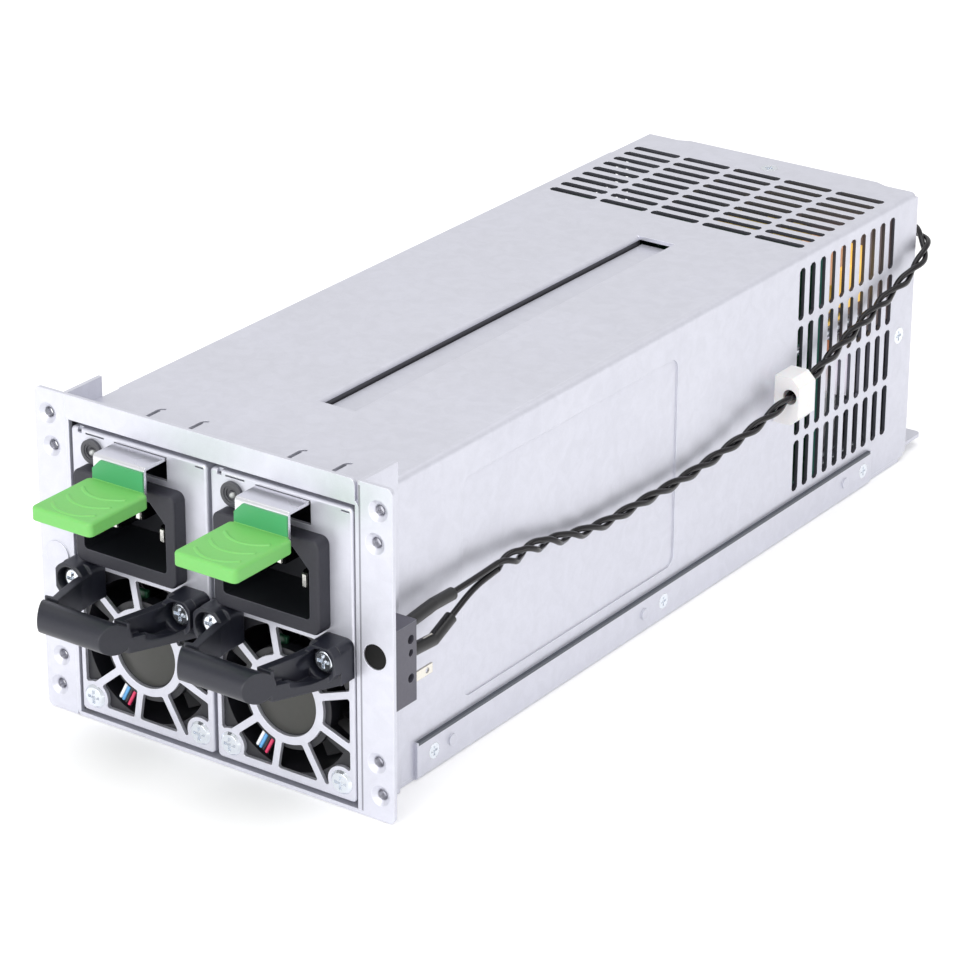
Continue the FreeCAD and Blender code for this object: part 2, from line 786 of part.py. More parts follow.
def panel_screw_set():
    """Flush screws that hold the rear panel to the shells, pan heads for the board spacers."""
    y = panel_y - panel_screw_inset
    length = 2 * steel + 0.5
    screws = [flat_screw(Vector(0, y, roof_top), up, length, panel_head_radius)]
    for side in (-1, 1):
        surface = Vector(side * wall_outer, y, panel_screw_height)
        screws.append(flat_screw(surface, right * side, length, panel_head_radius))
    for x, z in spacer_spots:
        screws.append(pan_screw(Vector(x, panel_y + steel, z), rear, steel + 5))
    return group(screws)


# The boards behind the supplies

def spacer_set():
    """Threaded pillars: short ones between the two boards, long ones back to the rear panel."""
    pillars = []
    for x, z in spacer_spots:
        spans = ((backplane_y + board_sheet, converter_y), (converter_y + board_sheet, panel_y))
        for y0, y1 in spans:
            pillar = rod(spacer_radius, Vector(x, y0, z), rear, y1 - y0)
            if y1 == panel_y:
                pillar = pillar.cut(rod(screw_radius + shaft_fit, Vector(x, y1, z), front, 6))
            pillars.append(pillar)
    return group(pillars)


def board(y):
    return block(-board_half, board_half, y, y + board_sheet, board_low, board_high)


def socket(unit_x):
    """Card-edge socket on the backplane, slotted for a supply's tongue."""
    x = unit_x + card_x
    body = block(x - socket_half_x, x + socket_half_x, backplane_y - socket_length, backplane_y,
                 unit_middle - socket_half_z, unit_middle + socket_half_z)
    half = board_sheet / 2 + 0.2
    slot = block(x - half, x + half, backplane_y - socket_length - 1, backplane_y - socket_floor,
                 unit_middle - card_half - 0.4, unit_middle + card_half + 0.4)
    return body.cut(slot)


def converter_coils(back):
    """Taped coil blocks at the top right of the converter board."""
    high = board_high - coil_gap
    coils = []
    for number in range(2):
        x1 = board_half - coil_inset - number * (coil_size + coil_gap)
        core = soft_block(x1 - coil_size, x1, back, back + coil_depth, high - coil_height, high, 2.0, rear)
        middle = x1 - coil_size / 2
        notch = block(middle - coil_size / 4, middle + coil_size / 4, back - 1, back + coil_depth + 1,
                      high - 1.5, high + 1)
        coils.append(core.cut(notch))
    return group(coils)


def converter_cans(back):
    cans = []
    for column in range(3):
        for row in range(2):
            x = (column + 1) * can_pitch - board_half
            z = board_high - (row + 1) * can_pitch
            cans.append(rod(can_radius, Vector(x, back, z), rear, can_length))
    return group(cans)


def output_connector(back):
    x1 = board_half - board_sheet
    z0 = board_low + connector_rise
    return block(x1 - connector_width, x1, back, back + connector_depth, z0, z0 + connector_height)


def converter_sink(back):
    x0 = board_half - board_sheet - connector_width
    z0 = board_low + sink_rise
    base = block(x0, x0 + sink_width, back, back + sink_depth, z0, z0 + sink_base)
    fins = []
    for number in range(fin_count):
        x = x0 + number * (sink_width - fin_sheet) / (fin_count - 1)
        fins.append(block(x, x + fin_sheet, back, back + sink_depth, z0 + sink_base,
                          z0 + sink_base + fin_height))
    return base.fuse(fins)


# The reset switch and its leads

def switch_body():
    """Snap-action switch behind the right ear, its button bore facing the hole in the ear."""
    x0 = wall_outer + steel
    body = soft_block(x0, x0 + switch_width, switch_front, switch_rear, switch_low, switch_high, 0.5, up)
    centre = Vector(button_x, switch_front, button_height)
    cutters = [rod(plunger_radius + 0.1, centre - rear, rear, 5)]
    hole_y = switch_rear - 2.4
    for z in (switch_high - 4.0, switch_low + 6.2):
        cutters.append(rod(1.15, Vector(x0 - 1, hole_y, z), right, switch_width + 2))
    cutters.append(rod(0.9, Vector(x0 + switch_width - 1, hole_y, button_height - 1.6), right, 2))
    for z in terminal_heights:
        cutters.append(terminal(z))
    return body.cut(cutters)


def terminal(z):
    """Tab terminal with a wire hole, pressed into the rear of the switch."""
    return block(sleeve_x - 0.25, sleeve_x + 0.25, switch_rear - 2, switch_rear + terminal_length,
                 z - 1.2, z + 1.2)


def terminal_set():
    blades = []
    for z in terminal_heights:
        hole = rod(0.7, Vector(sleeve_x - 2, switch_rear + terminal_length - 2, z), right, 4)
        blades.append(terminal(z).cut(hole))
    return group(blades)


def reset_button():
    """Round push button with its plunger; it slides into the switch."""
    centre = Vector(button_x, 0.2, button_height)
    cap = rod(button_radius, centre, rear, switch_front - 0.2 - button_travel - 0.2)
    return cap.fuse(rod(plunger_radius, centre, rear, 4.6))


def lead_points(sleeve_points, lead):
    """A lead starts inside its sleeve."""
    heading = (sleeve_points[2] - sleeve_points[1]).normalize()
    return [sleeve_points[2] - heading * lead_hold] + lead


def sleeve(points, terminal_height, lead):
    """Heat-shrink sleeve over a terminal and the soldered end of its lead."""
    start, middle, end = points
    pieces = [rod(sleeve_radius, start, middle - start, (middle - start).Length),
              rod(sleeve_radius, middle, end - middle, (end - middle).Length),
              Part.makeSphere(sleeve_radius, middle)]
    body = pieces[0].fuse(pieces[1:])
    inside, outside = lead_points(points, lead)[:2]
    bore = rod(lead_radius + shaft_fit, inside, outside - inside, 2 * lead_hold)
    return body.cut([terminal(terminal_height), bore])


def sleeve_set():
    """The sleeves start just behind the switch and swallow the two wired terminals."""
    return group([sleeve(upper_sleeve, terminal_heights[2], upper_lead),
                  sleeve(lower_sleeve, terminal_heights[1], lower_lead)])


def switch_leads():
    return group([tube(lead_points(upper_sleeve, upper_lead), lead_radius),
                  tube(lead_points(lower_sleeve, lower_lead), lead_radius)])


def twisted_pair():
    return tube(pair_route, pair_radius)


def cable_clip():
    """Nylon clip riveted to the wall; the pair passes through its eye."""
    x0, x1 = wall_outer, wall_outer + clip_reach
    y0, y1 = clip_y - clip_depth / 2, clip_y + clip_depth / 2
    z0, z1 = clip_rise - clip_height / 2, clip_rise + clip_height / 2
    outline = [(x0, z0), (x1 - clip_corner, z0), (x1, z0 + clip_corner), (x1, z1 - clip_corner),
               (x1 - clip_corner, z1), (x0, z1)]
    body = prism([Vector(x, y0, z) for x, z in outline], rear * (y1 - y0))
    heading = pair_route[9] - pair_route[7]
    centre = Vector(wall_outer + clip_eye_reach, clip_y, clip_eye_rise)
    eye = rod(pair_radius + 0.45, centre - heading * 0.5, heading, heading.Length)
    return body.cut(eye)


# One supply

def unit_tray(unit_x):
    """Left wall, floor, roof and vented rear of one supply's case."""
    x0, x1 = unit_x - case_half, unit_x + case_half - case_sheet
    y0, y1 = front_depth, case_length
    body = block(x0, x1, y0, y1, unit_low, unit_top)
    hollow = block(x0 + case_sheet, x1 + 1, y0 - 1, y1 - case_sheet, unit_low + case_sheet, unit_top - case_sheet)
    body = body.cut(hollow)
    body = rounded(body, case_sheet * 0.7, rear, [Vector(x0, 0, unit_low), Vector(x0, 0, unit_top)])
    board_x = unit_x + card_x
    cutters = [block(board_x - board_sheet, board_x + board_sheet, y1 - 2, y1 + 1,
                     unit_middle - card_half - 1, unit_middle + card_half + 1)]
    for row in range(8):
        z = unit_middle + (row - 3.5) * 8.0
        cutters.append(vent(Vector(unit_x + 4.0, y1 - case_sheet / 2, z), right, up, rear * case_sheet))
    for side in (-1, 1):
        x = unit_x + lever_shift + side * tooth_offset
        half = tooth_width / 2 + slide_gap
        cutters.append(block(x - half, x + half, tooth_start - 1.5, tooth_end + 1.5, unit_top - 2, unit_top + 1))
    return body.cut(cutters)


def unit_lid(unit_x):
    """Right wall of one supply's case, with a flange inside the tray at top and bottom."""
    x1 = unit_x + case_half
    inner = x1 - case_sheet
    z0, z1 = unit_low + case_sheet, unit_top - case_sheet
    wall = block(inner, x1, front_depth, case_length, unit_low, unit_top)
    wall = rounded(wall, case_sheet * 0.7, rear, [Vector(x1, 0, unit_low), Vector(x1, 0, unit_top)])
    y0, y1 = lever_pivot_y + 10, case_length - 4
    low = block(inner - 5, inner, y0, y1, z0, z0 + case_sheet)
    high = block(inner - 5, inner, y0, y1, z1 - case_sheet, z1)
    return wall.fuse([low, high])


def fan_corners(unit_x):
    """Centres of the four corner holes; the handle's two screws set the height of the upper ones."""
    return [Vector(unit_x + side * fan_hole, 0, z) for side in (-1, 1) for z in (fan_z - fan_hole, handle_z)]


def guard_web(unit_x):
    """Ring, bars and screw lugs that stay in the fan opening."""
    centre = Vector(unit_x, -1, fan_z)
    depth = front_sheet + 2
    web = [rod(guard_ring_radius, centre, rear, depth)]
    for number in range(guard_bars):
        bar = block(0, fan_size, -1, depth - 1, -guard_bar / 2, guard_bar / 2)
        bar.rotate(Vector(0, 0, 0), front, guard_first + number * 360 / guard_bars)
        bar.translate(Vector(unit_x, 0, fan_z))
        web.append(bar)
    for spot in fan_corners(unit_x):
        web.append(rod(guard_lug, spot + front, rear, depth))
    return web[0].fuse(web[1:])


def guard_windows(unit_x):
    """The openings between the bars, with the small corners that a punch leaves."""
    half = fan_size / 2 - guard_side_rim
    high = fan_size / 2 - guard_rim
    field = soft_block(unit_x - half, unit_x + half, 0, front_sheet, fan_z - high, fan_z + high, 1.5, rear)
    windows = []
    for piece in field.cut(guard_web(unit_x)).Solids:
        face = min(piece.Faces, key=lambda face: face.CenterOfMass.y)
        outline = face.makeOffset2D(-guard_corner).makeOffset2D(guard_corner)
        windows.append(outline.translated(front).extrude(rear * (front_sheet + 2)))
    return windows


def unit_front(unit_x):
    """Folded front of one supply with fan guard, inlet cut-out, lever slot and lamp hole."""
    x0, x1 = unit_x - unit_width / 2, unit_x + unit_width / 2
    body = block(x0, x1, 0, front_depth, unit_low, unit_top)
    spots = [Vector(x, 0, z) for x in (x0, x1) for z in (unit_low, unit_top)]
    body = rounded(body, front_round, rear, spots)
    rim = [edge for edge in body.Edges if edge.CenterOfMass.y < 0.01]
    body = body.makeFillet(front_fold, rim)
    body = body.cut(block(x0 + front_sheet, x1 - front_sheet, front_sheet, front_depth + 1,
                          unit_low + front_sheet, unit_top - front_sheet))
    inlet_x = unit_x + inlet_shift
    inlet_half, inlet_rise = inlet_width / 2 - inlet_wall, inlet_height / 2 - inlet_wall
    lever_x = unit_x + lever_shift
    lever_room = lever_half + slide_gap
    slit_z = unit_top - relief_drop
    cutters = guard_windows(unit_x)
    cutters += [rod(guard_eye_radius, Vector(unit_x, -1, fan_z), rear, 3),
                block(inlet_x - inlet_half, inlet_x + inlet_half, -1, 2, inlet_z - inlet_rise, inlet_z + inlet_rise),
                rod(lamp_radius + shaft_fit, Vector(x0 + lamp_inset, -1, unit_top - lamp_drop), rear, 3),
                block(lever_x - lever_room, lever_x + lever_room, -1, 2, unit_top - lever_slot_drop,
                      unit_top - front_sheet),
                block(x0 + relief_inset, x0 + relief_inset + relief_width, -1, front_sheet,
                      slit_z, unit_top + 1),
                block(x0 + slit_start, x0 + slit_end, -1, 2, slit_z, slit_z + slit_height),
                block(x1 - slit_right, x1 - slit_right + 2 * relief_width, -1, 2, slit_z, slit_z + slit_height)]
    for spot in fan_corners(unit_x):
        cutters.append(rod(screw_radius + screw_clearance, spot + front, rear, 3))
    return body.cut(cutters)


def status_lamp(unit_x):
    """Light pipe in a round collar."""
    centre = Vector(unit_x - unit_width / 2 + lamp_inset, 0, unit_top - lamp_drop)
    collar = rod(lamp_collar, centre, front, lamp_proud)
    step = rod(lamp_eye + 0.5, centre + front * (lamp_proud - 0.25), front, 1)
    eye = rod(lamp_eye, centre + front * (lamp_proud - 0.6), front, 1)
    lens = Part.makeSphere(lamp_eye * 0.6, centre + front * 0.1)
    return collar.cut([step, eye]).fuse([lens, rod(lamp_radius, centre, rear, 7)])


def fan_frame(unit_x):
    """Square fan housing: round duct, struts and motor base at the front, bearing and stator."""
    half = fan_size / 2
    y0, y1 = front_sheet, fan_end
    centre = Vector(unit_x, y0, fan_z)
    frame = block(unit_x - half, unit_x + half, y0, y1, fan_z - half, fan_z + half)
    waist = block(unit_x - half - 1, unit_x + half + 1, y0 + fan_flange, y1 - fan_flange,
                  fan_z - half - 1, fan_z + half + 1)
    waist = waist.cut(rod(half, centre, rear, fan_depth))
    frame = frame.cut([rod(fan_duct_radius, centre - rear, rear, fan_depth + 2), waist])
    struts = []
    for number in range(strut_count):
        strut = block(0, fan_duct_radius + 0.5, y0 + lead_well, y0 + motor_base, -strut_half, strut_half)
        strut.rotate(Vector(0, 0, 0), front, strut_angle + number * 360 / strut_count)
        strut.translate(Vector(unit_x, 0, fan_z))
        struts.append(strut)
    motor = rod(motor_base_radius, centre, rear, motor_base)
    stator = rod(stator_radius, centre, rear, rotor_end - front_sheet - fan_cup_wall - 1)
    frame = frame.fuse(struts + [motor, stator])
    cutters = [rod(fan_shaft_radius + shaft_fit, centre + rear, rear, fan_depth)]
    for spot in fan_corners(unit_x):
        cutters.append(rod(screw_radius + screw_clearance, spot, rear, fan_depth + 2))
    return frame.cut(cutters)


def fan_leads(unit_x):
    """Leads of the motor, side by side on one strut, from the base out to the housing."""
    leads = []
    for number in range(fan_lead_count):
        z = (number - (fan_lead_count - 1) / 2) * 2 * (fan_lead_radius + 0.02)
        start = Vector(motor_base_radius + 0.1, front_sheet + lead_well - fan_lead_radius, z)
        lead = rod(fan_lead_radius, start, right, fan_duct_radius - motor_base_radius - 0.5)
        lead.rotate(Vector(0, 0, 0), front, strut_angle)
        lead.translate(Vector(unit_x, 0, fan_z))
        leads.append(lead)
    return group(leads)


def fan_blade(unit_x, angle):
    """One twisted blade, lofted from its root section to its tip and trimmed to the duct."""
    sections = []
    for radius, pitch_angle, chord in ((fan_hub_radius - 2, 52, 16.0), (fan_duct_radius + 3, 30, 21.0)):
        lean = math.radians(pitch_angle)
        half = chord / 2
        thick = 0.55
        corners = []
        for along, across in ((-half, -thick * 0.4), (0, -thick - 0.9), (half, -thick * 0.4),
                              (half, thick * 0.4), (0, thick - 0.9), (-half, thick * 0.4)):
            corners.append(Vector(radius, along * math.sin(lean) + across * math.cos(lean),
                                  along * math.cos(lean) - across * math.sin(lean)))
        sections.append(Part.makePolygon(corners + corners[:1]))
    blade = Part.makeLoft(sections, True, True)
    blade.translate(Vector(0, rotor_start + (rotor_end - rotor_start) / 2, 0))
    blade.rotate(Vector(0, 0, 0), rear, angle)
    blade.translate(Vector(unit_x, 0, fan_z))
    return blade


def fan_rotor(unit_x):
    """Moulded impeller: cup over the stator, seven swept blades, steel shaft."""
    centre = Vector(unit_x, rotor_start, fan_z)
    length = rotor_end - rotor_start
    tips = rod(fan_duct_radius - fan_tip_gap, centre, rear, length)
    tips = tips.cut(rod(fan_hub_radius - 1.0, centre - rear, rear, fan_depth))
    blades = [fan_blade(unit_x, number * 360 / fan_blades).common(tips) for number in range(fan_blades)]
    cup = rod(fan_hub_radius, centre, rear, length)
    cup = cup.cut(rod(fan_hub_radius - fan_cup_wall, centre - rear, rear, length + 1 - fan_cup_wall))
    shaft_start = Vector(unit_x, front_sheet + 2.0, fan_z)
    shaft = rod(fan_shaft_radius, shaft_start, rear, rotor_end - shaft_start.y)
    return cup.fuse(blades + [shaft])


def guard_screws(unit_x):
    """Flat screws in the two lower corners of the fan guard."""
    screws = []
    for side in (-1, 1):
        seat = Vector(unit_x + side * fan_hole, 0, fan_z - fan_hole)
        head = cone(guard_head_radius, guard_head_radius - guard_head_height, seat, front, guard_head_height)
        screw = head.fuse(rod(screw_radius, seat, rear, 7))
        screws.append(screw.cut(cross_recess(seat + front * guard_head_height, front, 3.4, 0.5)))
    return group(screws)


def handle_screws(unit_x):
    """Pan heads through the handle into the two upper corners of the fan."""
    screws = []
    for side in (-1, 1):
        seat = Vector(unit_x + side * fan_hole, -handle_base, handle_z)
        screws.append(pan_screw(seat, front, handle_base + 9))
    return group(screws)


def handle_grip():
    """Oval bar whose ends are cut along the slant of the legs."""
    half, depth = handle_half, handle_grip_depth
    oval = Part.Ellipse(Vector(0, 0, 0), depth / 2, handle_grip_height / 2).toShape()
    bar = Part.Face(Part.Wire(oval)).extrude(up * (4 * half))
    bar.rotate(Vector(0, 0, 0), Vector(1, 1, 1), 120)
    bar.translate(Vector(-2 * half, depth / 2 - handle_reach, handle_z - handle_grip_drop))
    slant = half + depth * handle_slant()
    ends = [(-half, -handle_reach), (half, -handle_reach), (slant, depth - handle_reach),
            (-slant, depth - handle_reach)]
    middle = handle_z - handle_grip_drop
    return bar.common(plan_prism(ends, middle - handle_grip_height, middle + handle_grip_height))


def handle_slant():
    """Sideways run of the legs' outer faces for each millimetre to the rear."""
    return (unit_width / 2 - 0.4 - handle_half) / (handle_reach - handle_flange)


def handle_leg(side):
    """Leg between the grip and the flange: low outer wall, floor, and a higher wall inside."""
    half = unit_width / 2
    slope = handle_slant()
    start = handle_grip_depth - 1.0 - handle_reach
    outer_start = handle_half + (start + handle_reach) * slope
    low, high = handle_z - handle_leg_low, handle_z + handle_leg_high
    outline = [(half - 0.4, -handle_flange), (outer_start, start), (8.3, start), (10.8, -9.0), (11.2, -handle_flange)]
    step = [(13.2, -handle_flange), (12.9, -9.5), (11.6, -15.5), (outer_start - 1.6, start + 1.0),
            (outer_start + 3, start), (half + 3, -handle_flange)]
    channel = [(13.2, -handle_flange), (12.9, -9.5), (11.6, -15.5), (12.2, -16.4),
               (half - 2.0, -handle_flange)]
    leg = plan_prism([(side * x, y) for x, y in outline], low, high)
    step = plan_prism([(side * x, y) for x, y in step], handle_z - handle_wall_drop, high + 1)
    channel = plan_prism([(side * x, y) for x, y in channel], low + handle_floor, high + 1)
    return leg.cut([step, channel])


def handle_foot(side):
    """Flange on the supply's front with the screw's raised boss."""
    half = unit_width / 2
    x0, x1 = sorted((side * 11.2, side * half))
    low, high = handle_z - handle_leg_low, handle_z + handle_flange_high
    corner = Vector(side * half, 0, high)
    flange = rounded(block(x0, x1, -handle_flange, 0, low, high), 2.0, rear, [corner, Vector(x0 + x1 - side * half, 0, high)])
    boss = rod(handle_boss_radius, Vector(side * fan_hole, 0, handle_z), front, handle_boss_depth)
    return flange.fuse(boss.common(block(-half, half, -handle_reach, 0, low, high)))


def pull_handle(unit_x):
    """Moulded pull: an oval grip on two legs that splay out to the screw seats."""
    pieces = []
    cutters = []
    for side in (-1, 1):
        pieces += [handle_leg(side), handle_foot(side)]
        seat = Vector(side * fan_hole, -handle_base, handle_z)
        cutters.append(rod(head_well_radius, seat, front, handle_reach - handle_base - handle_grip_depth - 3))
        cutters.append(rod(screw_radius + screw_clearance, seat - front * (handle_base + 1), front, 12))
    handle = handle_grip().fuse(pieces).cut(cutters)
    return handle.translated(Vector(unit_x, 0, 0))


def pin_spots(unit_x):
    """Middle of each pin: line, neutral and earth."""
    x = unit_x + inlet_shift
    return [(x - pin_pitch / 2, cavity_z - live_drop), (x + pin_pitch / 2, cavity_z - live_drop),
            (x, cavity_z + earth_rise)]


def pin_block(spot, y0, y1):
    x, z = spot
    return block(x - pin_width / 2, x + pin_width / 2, y0, y1, z - pin_height / 2, z + pin_height / 2)


def inlet_body(unit_x):
    """Appliance inlet: bezel over the front, shrouded cavity with two clipped corners."""
    x = unit_x + inlet_shift
    half_w, half_h = inlet_width / 2, inlet_height / 2
    low, high = inlet_z - half_h, inlet_z + half_h
    bezel = soft_block(x - half_w, x + half_w, -inlet_proud, 0, low, high, inlet_corner, rear)
    rim = [edge for edge in bezel.Edges if edge.CenterOfMass.y < -inlet_proud + 0.01]
    bezel = bezel.makeFillet(inlet_edge, rim)
    wall = inlet_wall + 0.1
    shroud = block(x - half_w + wall, x + half_w - wall, 0, cavity_depth, low + wall, high - wall)
    cw, ch, cc = cavity_width / 2, cavity_height / 2, cavity_corner
    outline = [(-cw, -ch), (cw, -ch), (cw, ch - cc), (cw - cc, ch), (cc - cw, ch), (-cw, ch - cc)]
    cavity = prism([Vector(x + a, -inlet_proud - 1, cavity_z + b) for a, b in outline],
                   rear * (cavity_depth + 1))
    cavity = rounded(cavity, 1.0, rear, [Vector(x + side * cw, 0, cavity_z - ch) for side in (-1, 1)])
    body = bezel.fuse(shroud).cut(cavity)
    return body.cut([pin_block(spot, 0, cavity_depth + 6) for spot in pin_spots(unit_x)])


def inlet_pins(unit_x):
    """Three flat pins moulded through the back of the inlet, their tips tapered."""
    pins = []
    tip_y = pin_recess - inlet_proud
    for spot in pin_spots(unit_x):
        shank = pin_block(spot, tip_y + pin_taper, cavity_depth + 5)
        sections = []
        for y, share in ((tip_y, 0.5), (tip_y + pin_taper, 1.0)):
            w, h = pin_width / 2 * share, pin_height / 2 * (share + 1) / 2
            corners = [Vector(spot[0] + a * w, y, spot[1] + b * h) for a, b in ((-1, -1), (1, -1), (1, 1), (-1, 1))]
            sections.append(Part.makePolygon(corners + corners[:1]))
        pins.append(shank.fuse(Part.makeLoft(sections, True, True)))
    return group(pins)


def release_lever(unit_x):
    """Sprung steel leaf under the case roof, with two catch teeth and a folded nose."""
    x0, x1 = unit_x + lever_shift - lever_half, unit_x + lever_shift + lever_half
    top = unit_top - case_sheet - lever_gap
    low = top - lever_sheet
    blade_low = unit_top - pad_top - pad_thickness + pad_floor
    end = lever_pivot_y + 2
    section = [(-lever_front_y, blade_low), (lever_sheet - lever_front_y, blade_low),
               (lever_sheet - lever_front_y, low), (end, low), (end, top), (-lever_front_y, top)]
    leaf = prism([Vector(x0, y, z) for y, z in section], right * (x1 - x0))
    leaf = rounded(leaf, lever_fold, right, [Vector(0, -lever_front_y, top)])
    blade = block(x0 + 3, x1 - 3, 2.5 - lever_front_y - pad_length, lever_sheet - lever_front_y,
                  blade_low, blade_low + lever_sheet)
    lever = leaf.fuse(blade)
    for side in (-1, 1):
        x = unit_x + lever_shift + side * tooth_offset
        tip = roof_low - slide_gap
        points = [(tooth_start, top), (tooth_end, top), (tooth_end, tip), (tooth_end - 1.5, tip)]
        tooth = prism([Vector(x - tooth_width / 2, y, z) for y, z in points], right * tooth_width)
        lever = lever.fuse(tooth)
    return lever


def grip_ridge(x, top, number):
    """One arc-shaped grip ridge, most of it sunk in the pad."""
    middle = -lever_front_y - ridge_first - number * ridge_pitch
    centre = Vector(x + 0.4, middle + ridge_radius, top + ridge_rise - ridge_wire)
    ring = Part.makeTorus(ridge_radius, ridge_wire, centre, up)
    reach = ridge_radius * 0.76
    return ring.common(block(centre.x - reach, centre.x + reach, middle - 2, middle + 2.9, top - 0.5, top + 1))


def lever_pad(unit_x):
    """Moulded thumb pad on the lever's nose, with three curved grip ridges and a riser."""
    x = unit_x + lever_shift
    top = unit_top - pad_top
    y0, y1 = -lever_front_y - pad_length, -lever_front_y
    body = soft_block(x - pad_half, x + pad_half, y0, y1, top - pad_thickness, top, pad_corner, up)
    rim = [edge for edge in body.Edges if abs(edge.CenterOfMass.z - top) < 0.01]
    body = body.makeFillet(pad_round, rim)
    rim = [edge for edge in body.Edges if abs(edge.CenterOfMass.z - top + pad_thickness) < 0.01]
    body = body.makeFillet(pad_round / 2, rim)
    high = top + riser_height
    riser = [(-lever_half, top - 1.5), (lever_half, top - 1.5), (lever_half, high),
             (riser_clip - lever_half, high), (-lever_half, high - riser_clip)]
    riser = prism([Vector(x + a, y1 - riser_sheet, z) for a, z in riser], rear * riser_sheet)
    ridges = [grip_ridge(x, top, number) for number in range(3)]
    return body.fuse([riser] + ridges).cut(release_lever(unit_x))


def main_board(unit_x):
    """Upright circuit board; its rear edge is the supply's output connector."""
    x = unit_x + card_x
    half = board_sheet / 2
    body = block(x - half, x + half, fan_end + 6, case_length - case_sheet - 1, unit_low + 4, unit_top - 4)
    tongue = block(x - half, x + half, case_length - case_sheet - 2, unit_length,
                   unit_middle - card_half, unit_middle + card_half)
    return body.fuse(tongue)


def bulk_capacitors(x):
    y = fan_end + bulk_start
    return group([rod(bulk_radius, Vector(x + bulk_radius, y, unit_middle + side * bulk_offset), rear, bulk_length)
                  for side in (-1, 1)])


def transformer(x):
    """Open core with its round winding."""
    y0 = fan_end + bulk_start + bulk_length + core_gap
    y1 = y0 + core_length
    half = core_height / 2
    core = block(x, x + core_depth, y0, y1, unit_middle - half, unit_middle + half)
    window = block(x + 6, x + core_depth + 1, y0 - 1, y1 + 1, unit_middle - half + core_leg,
                   unit_middle + half - core_leg)
    winding = rod(core_leg, Vector(x, (y0 + y1) / 2, unit_middle), right, core_depth - 2)
    return core.cut(window).fuse(winding)


def heat_sink(x):
    y0 = fan_end + bulk_start + bulk_length + core_gap + core_length + rib_gap
    low, high = unit_low + rib_inset, unit_top - rib_inset
    base = block(x, x + 2.5, y0, y0 + rib_length, low, high)
    ribs = []
    for number in range(rib_count):
        y = y0 + number * (rib_length - rib_sheet) / (rib_count - 1)
        ribs.append(block(x, x + rib_depth, y, y + rib_sheet, low, high))
    return base.fuse(ribs)


def unit(name, unit_x):
    """Every piece of one supply."""
    save("case_tray_" + name, unit_tray(unit_x))
    save("case_lid_" + name, unit_lid(unit_x))
    save("front_panel_" + name, unit_front(unit_x))
    save("inlet_" + name, inlet_body(unit_x))
    save("inlet_pins_" + name, inlet_pins(unit_x))
    save("pull_handle_" + name, pull_handle(unit_x))
    save("handle_screws_" + name, handle_screws(unit_x))
    save("guard_screws_" + name, guard_screws(unit_x))
    save("status_lamp_" + name, status_lamp(unit_x))
    save("fan_frame_" + name, fan_frame(unit_x))
    save("fan_rotor_" + name, fan_rotor(unit_x))
    save("fan_leads_" + name, fan_leads(unit_x))
    save("release_lever_" + name, release_lever(unit_x))
    save("lever_pad_" + name, lever_pad(unit_x))
    save("main_board_" + name, main_board(unit_x))
    board_face = unit_x + card_x + board_sheet / 2
    save("bulk_capacitors_" + name, bulk_capacitors(board_face))
    save("transformer_" + name, transformer(board_face))
    save("heat_sink_" + name, heat_sink(board_face))


def cage():
    save("top_shell", top_shell())
    save("bottom_shell", bottom_shell())
    save("ear_left", ear(-1))
    save("ear_right", ear(1))
    save("rear_panel", rear_panel())
    save("outlet_lining", outlet_lining_shape())
    save("pair_grommet", pair_grommet())
    save("lap_screws", lap_screw_set())
    save("panel_screws", panel_screw_set())


def power_boards():
    back = converter_rear
    save("backplane_board", board(backplane_y))
    save("converter_board", board(converter_y))
    save("board_spacers", spacer_set())
    save("unit_sockets", group([socket(-bay_pitch / 2), socket(bay_pitch / 2)]))
    save("converter_coils", converter_coils(back))
    save("converter_capacitors", converter_cans(back))
    save("output_connector", output_connector(back))
    save("converter_heat_sink", converter_sink(back))


def reset_switch():
    save("switch_body", switch_body())
    save("switch_terminals", terminal_set())
    save("reset_button", reset_button())
    save("lead_sleeves", sleeve_set())
    save("switch_leads", switch_leads())
    save("twisted_pair", twisted_pair())
    save("cable_clip", cable_clip())


cage()
power_boards()
reset_switch()
unit("left", -bay_pitch / 2)
unit("right", bay_pitch / 2)
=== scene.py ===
import math

import bmesh
import bpy
from mathutils import Matrix, Quaternion, Vector


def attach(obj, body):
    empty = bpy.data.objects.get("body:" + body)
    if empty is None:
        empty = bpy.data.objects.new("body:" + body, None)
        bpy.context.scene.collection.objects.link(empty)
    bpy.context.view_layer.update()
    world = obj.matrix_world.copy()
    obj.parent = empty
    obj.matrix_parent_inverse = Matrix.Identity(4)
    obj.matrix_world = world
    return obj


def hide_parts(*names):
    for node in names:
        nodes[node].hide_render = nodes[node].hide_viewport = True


# Hot swap server power supply: a steel cage with rack ears, two pull-out supplies side by side, and
# a reset switch whose leads run as a twisted pair along the right wall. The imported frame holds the
# solids; this script gives them their finish and adds the pieces that are too fine for them.
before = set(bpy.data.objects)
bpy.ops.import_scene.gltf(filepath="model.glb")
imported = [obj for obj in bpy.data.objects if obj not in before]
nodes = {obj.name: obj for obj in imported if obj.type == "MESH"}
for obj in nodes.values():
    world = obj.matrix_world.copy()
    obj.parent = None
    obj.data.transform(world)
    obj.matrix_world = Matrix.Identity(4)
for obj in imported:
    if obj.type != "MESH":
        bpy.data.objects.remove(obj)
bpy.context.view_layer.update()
scene = bpy.context.scene

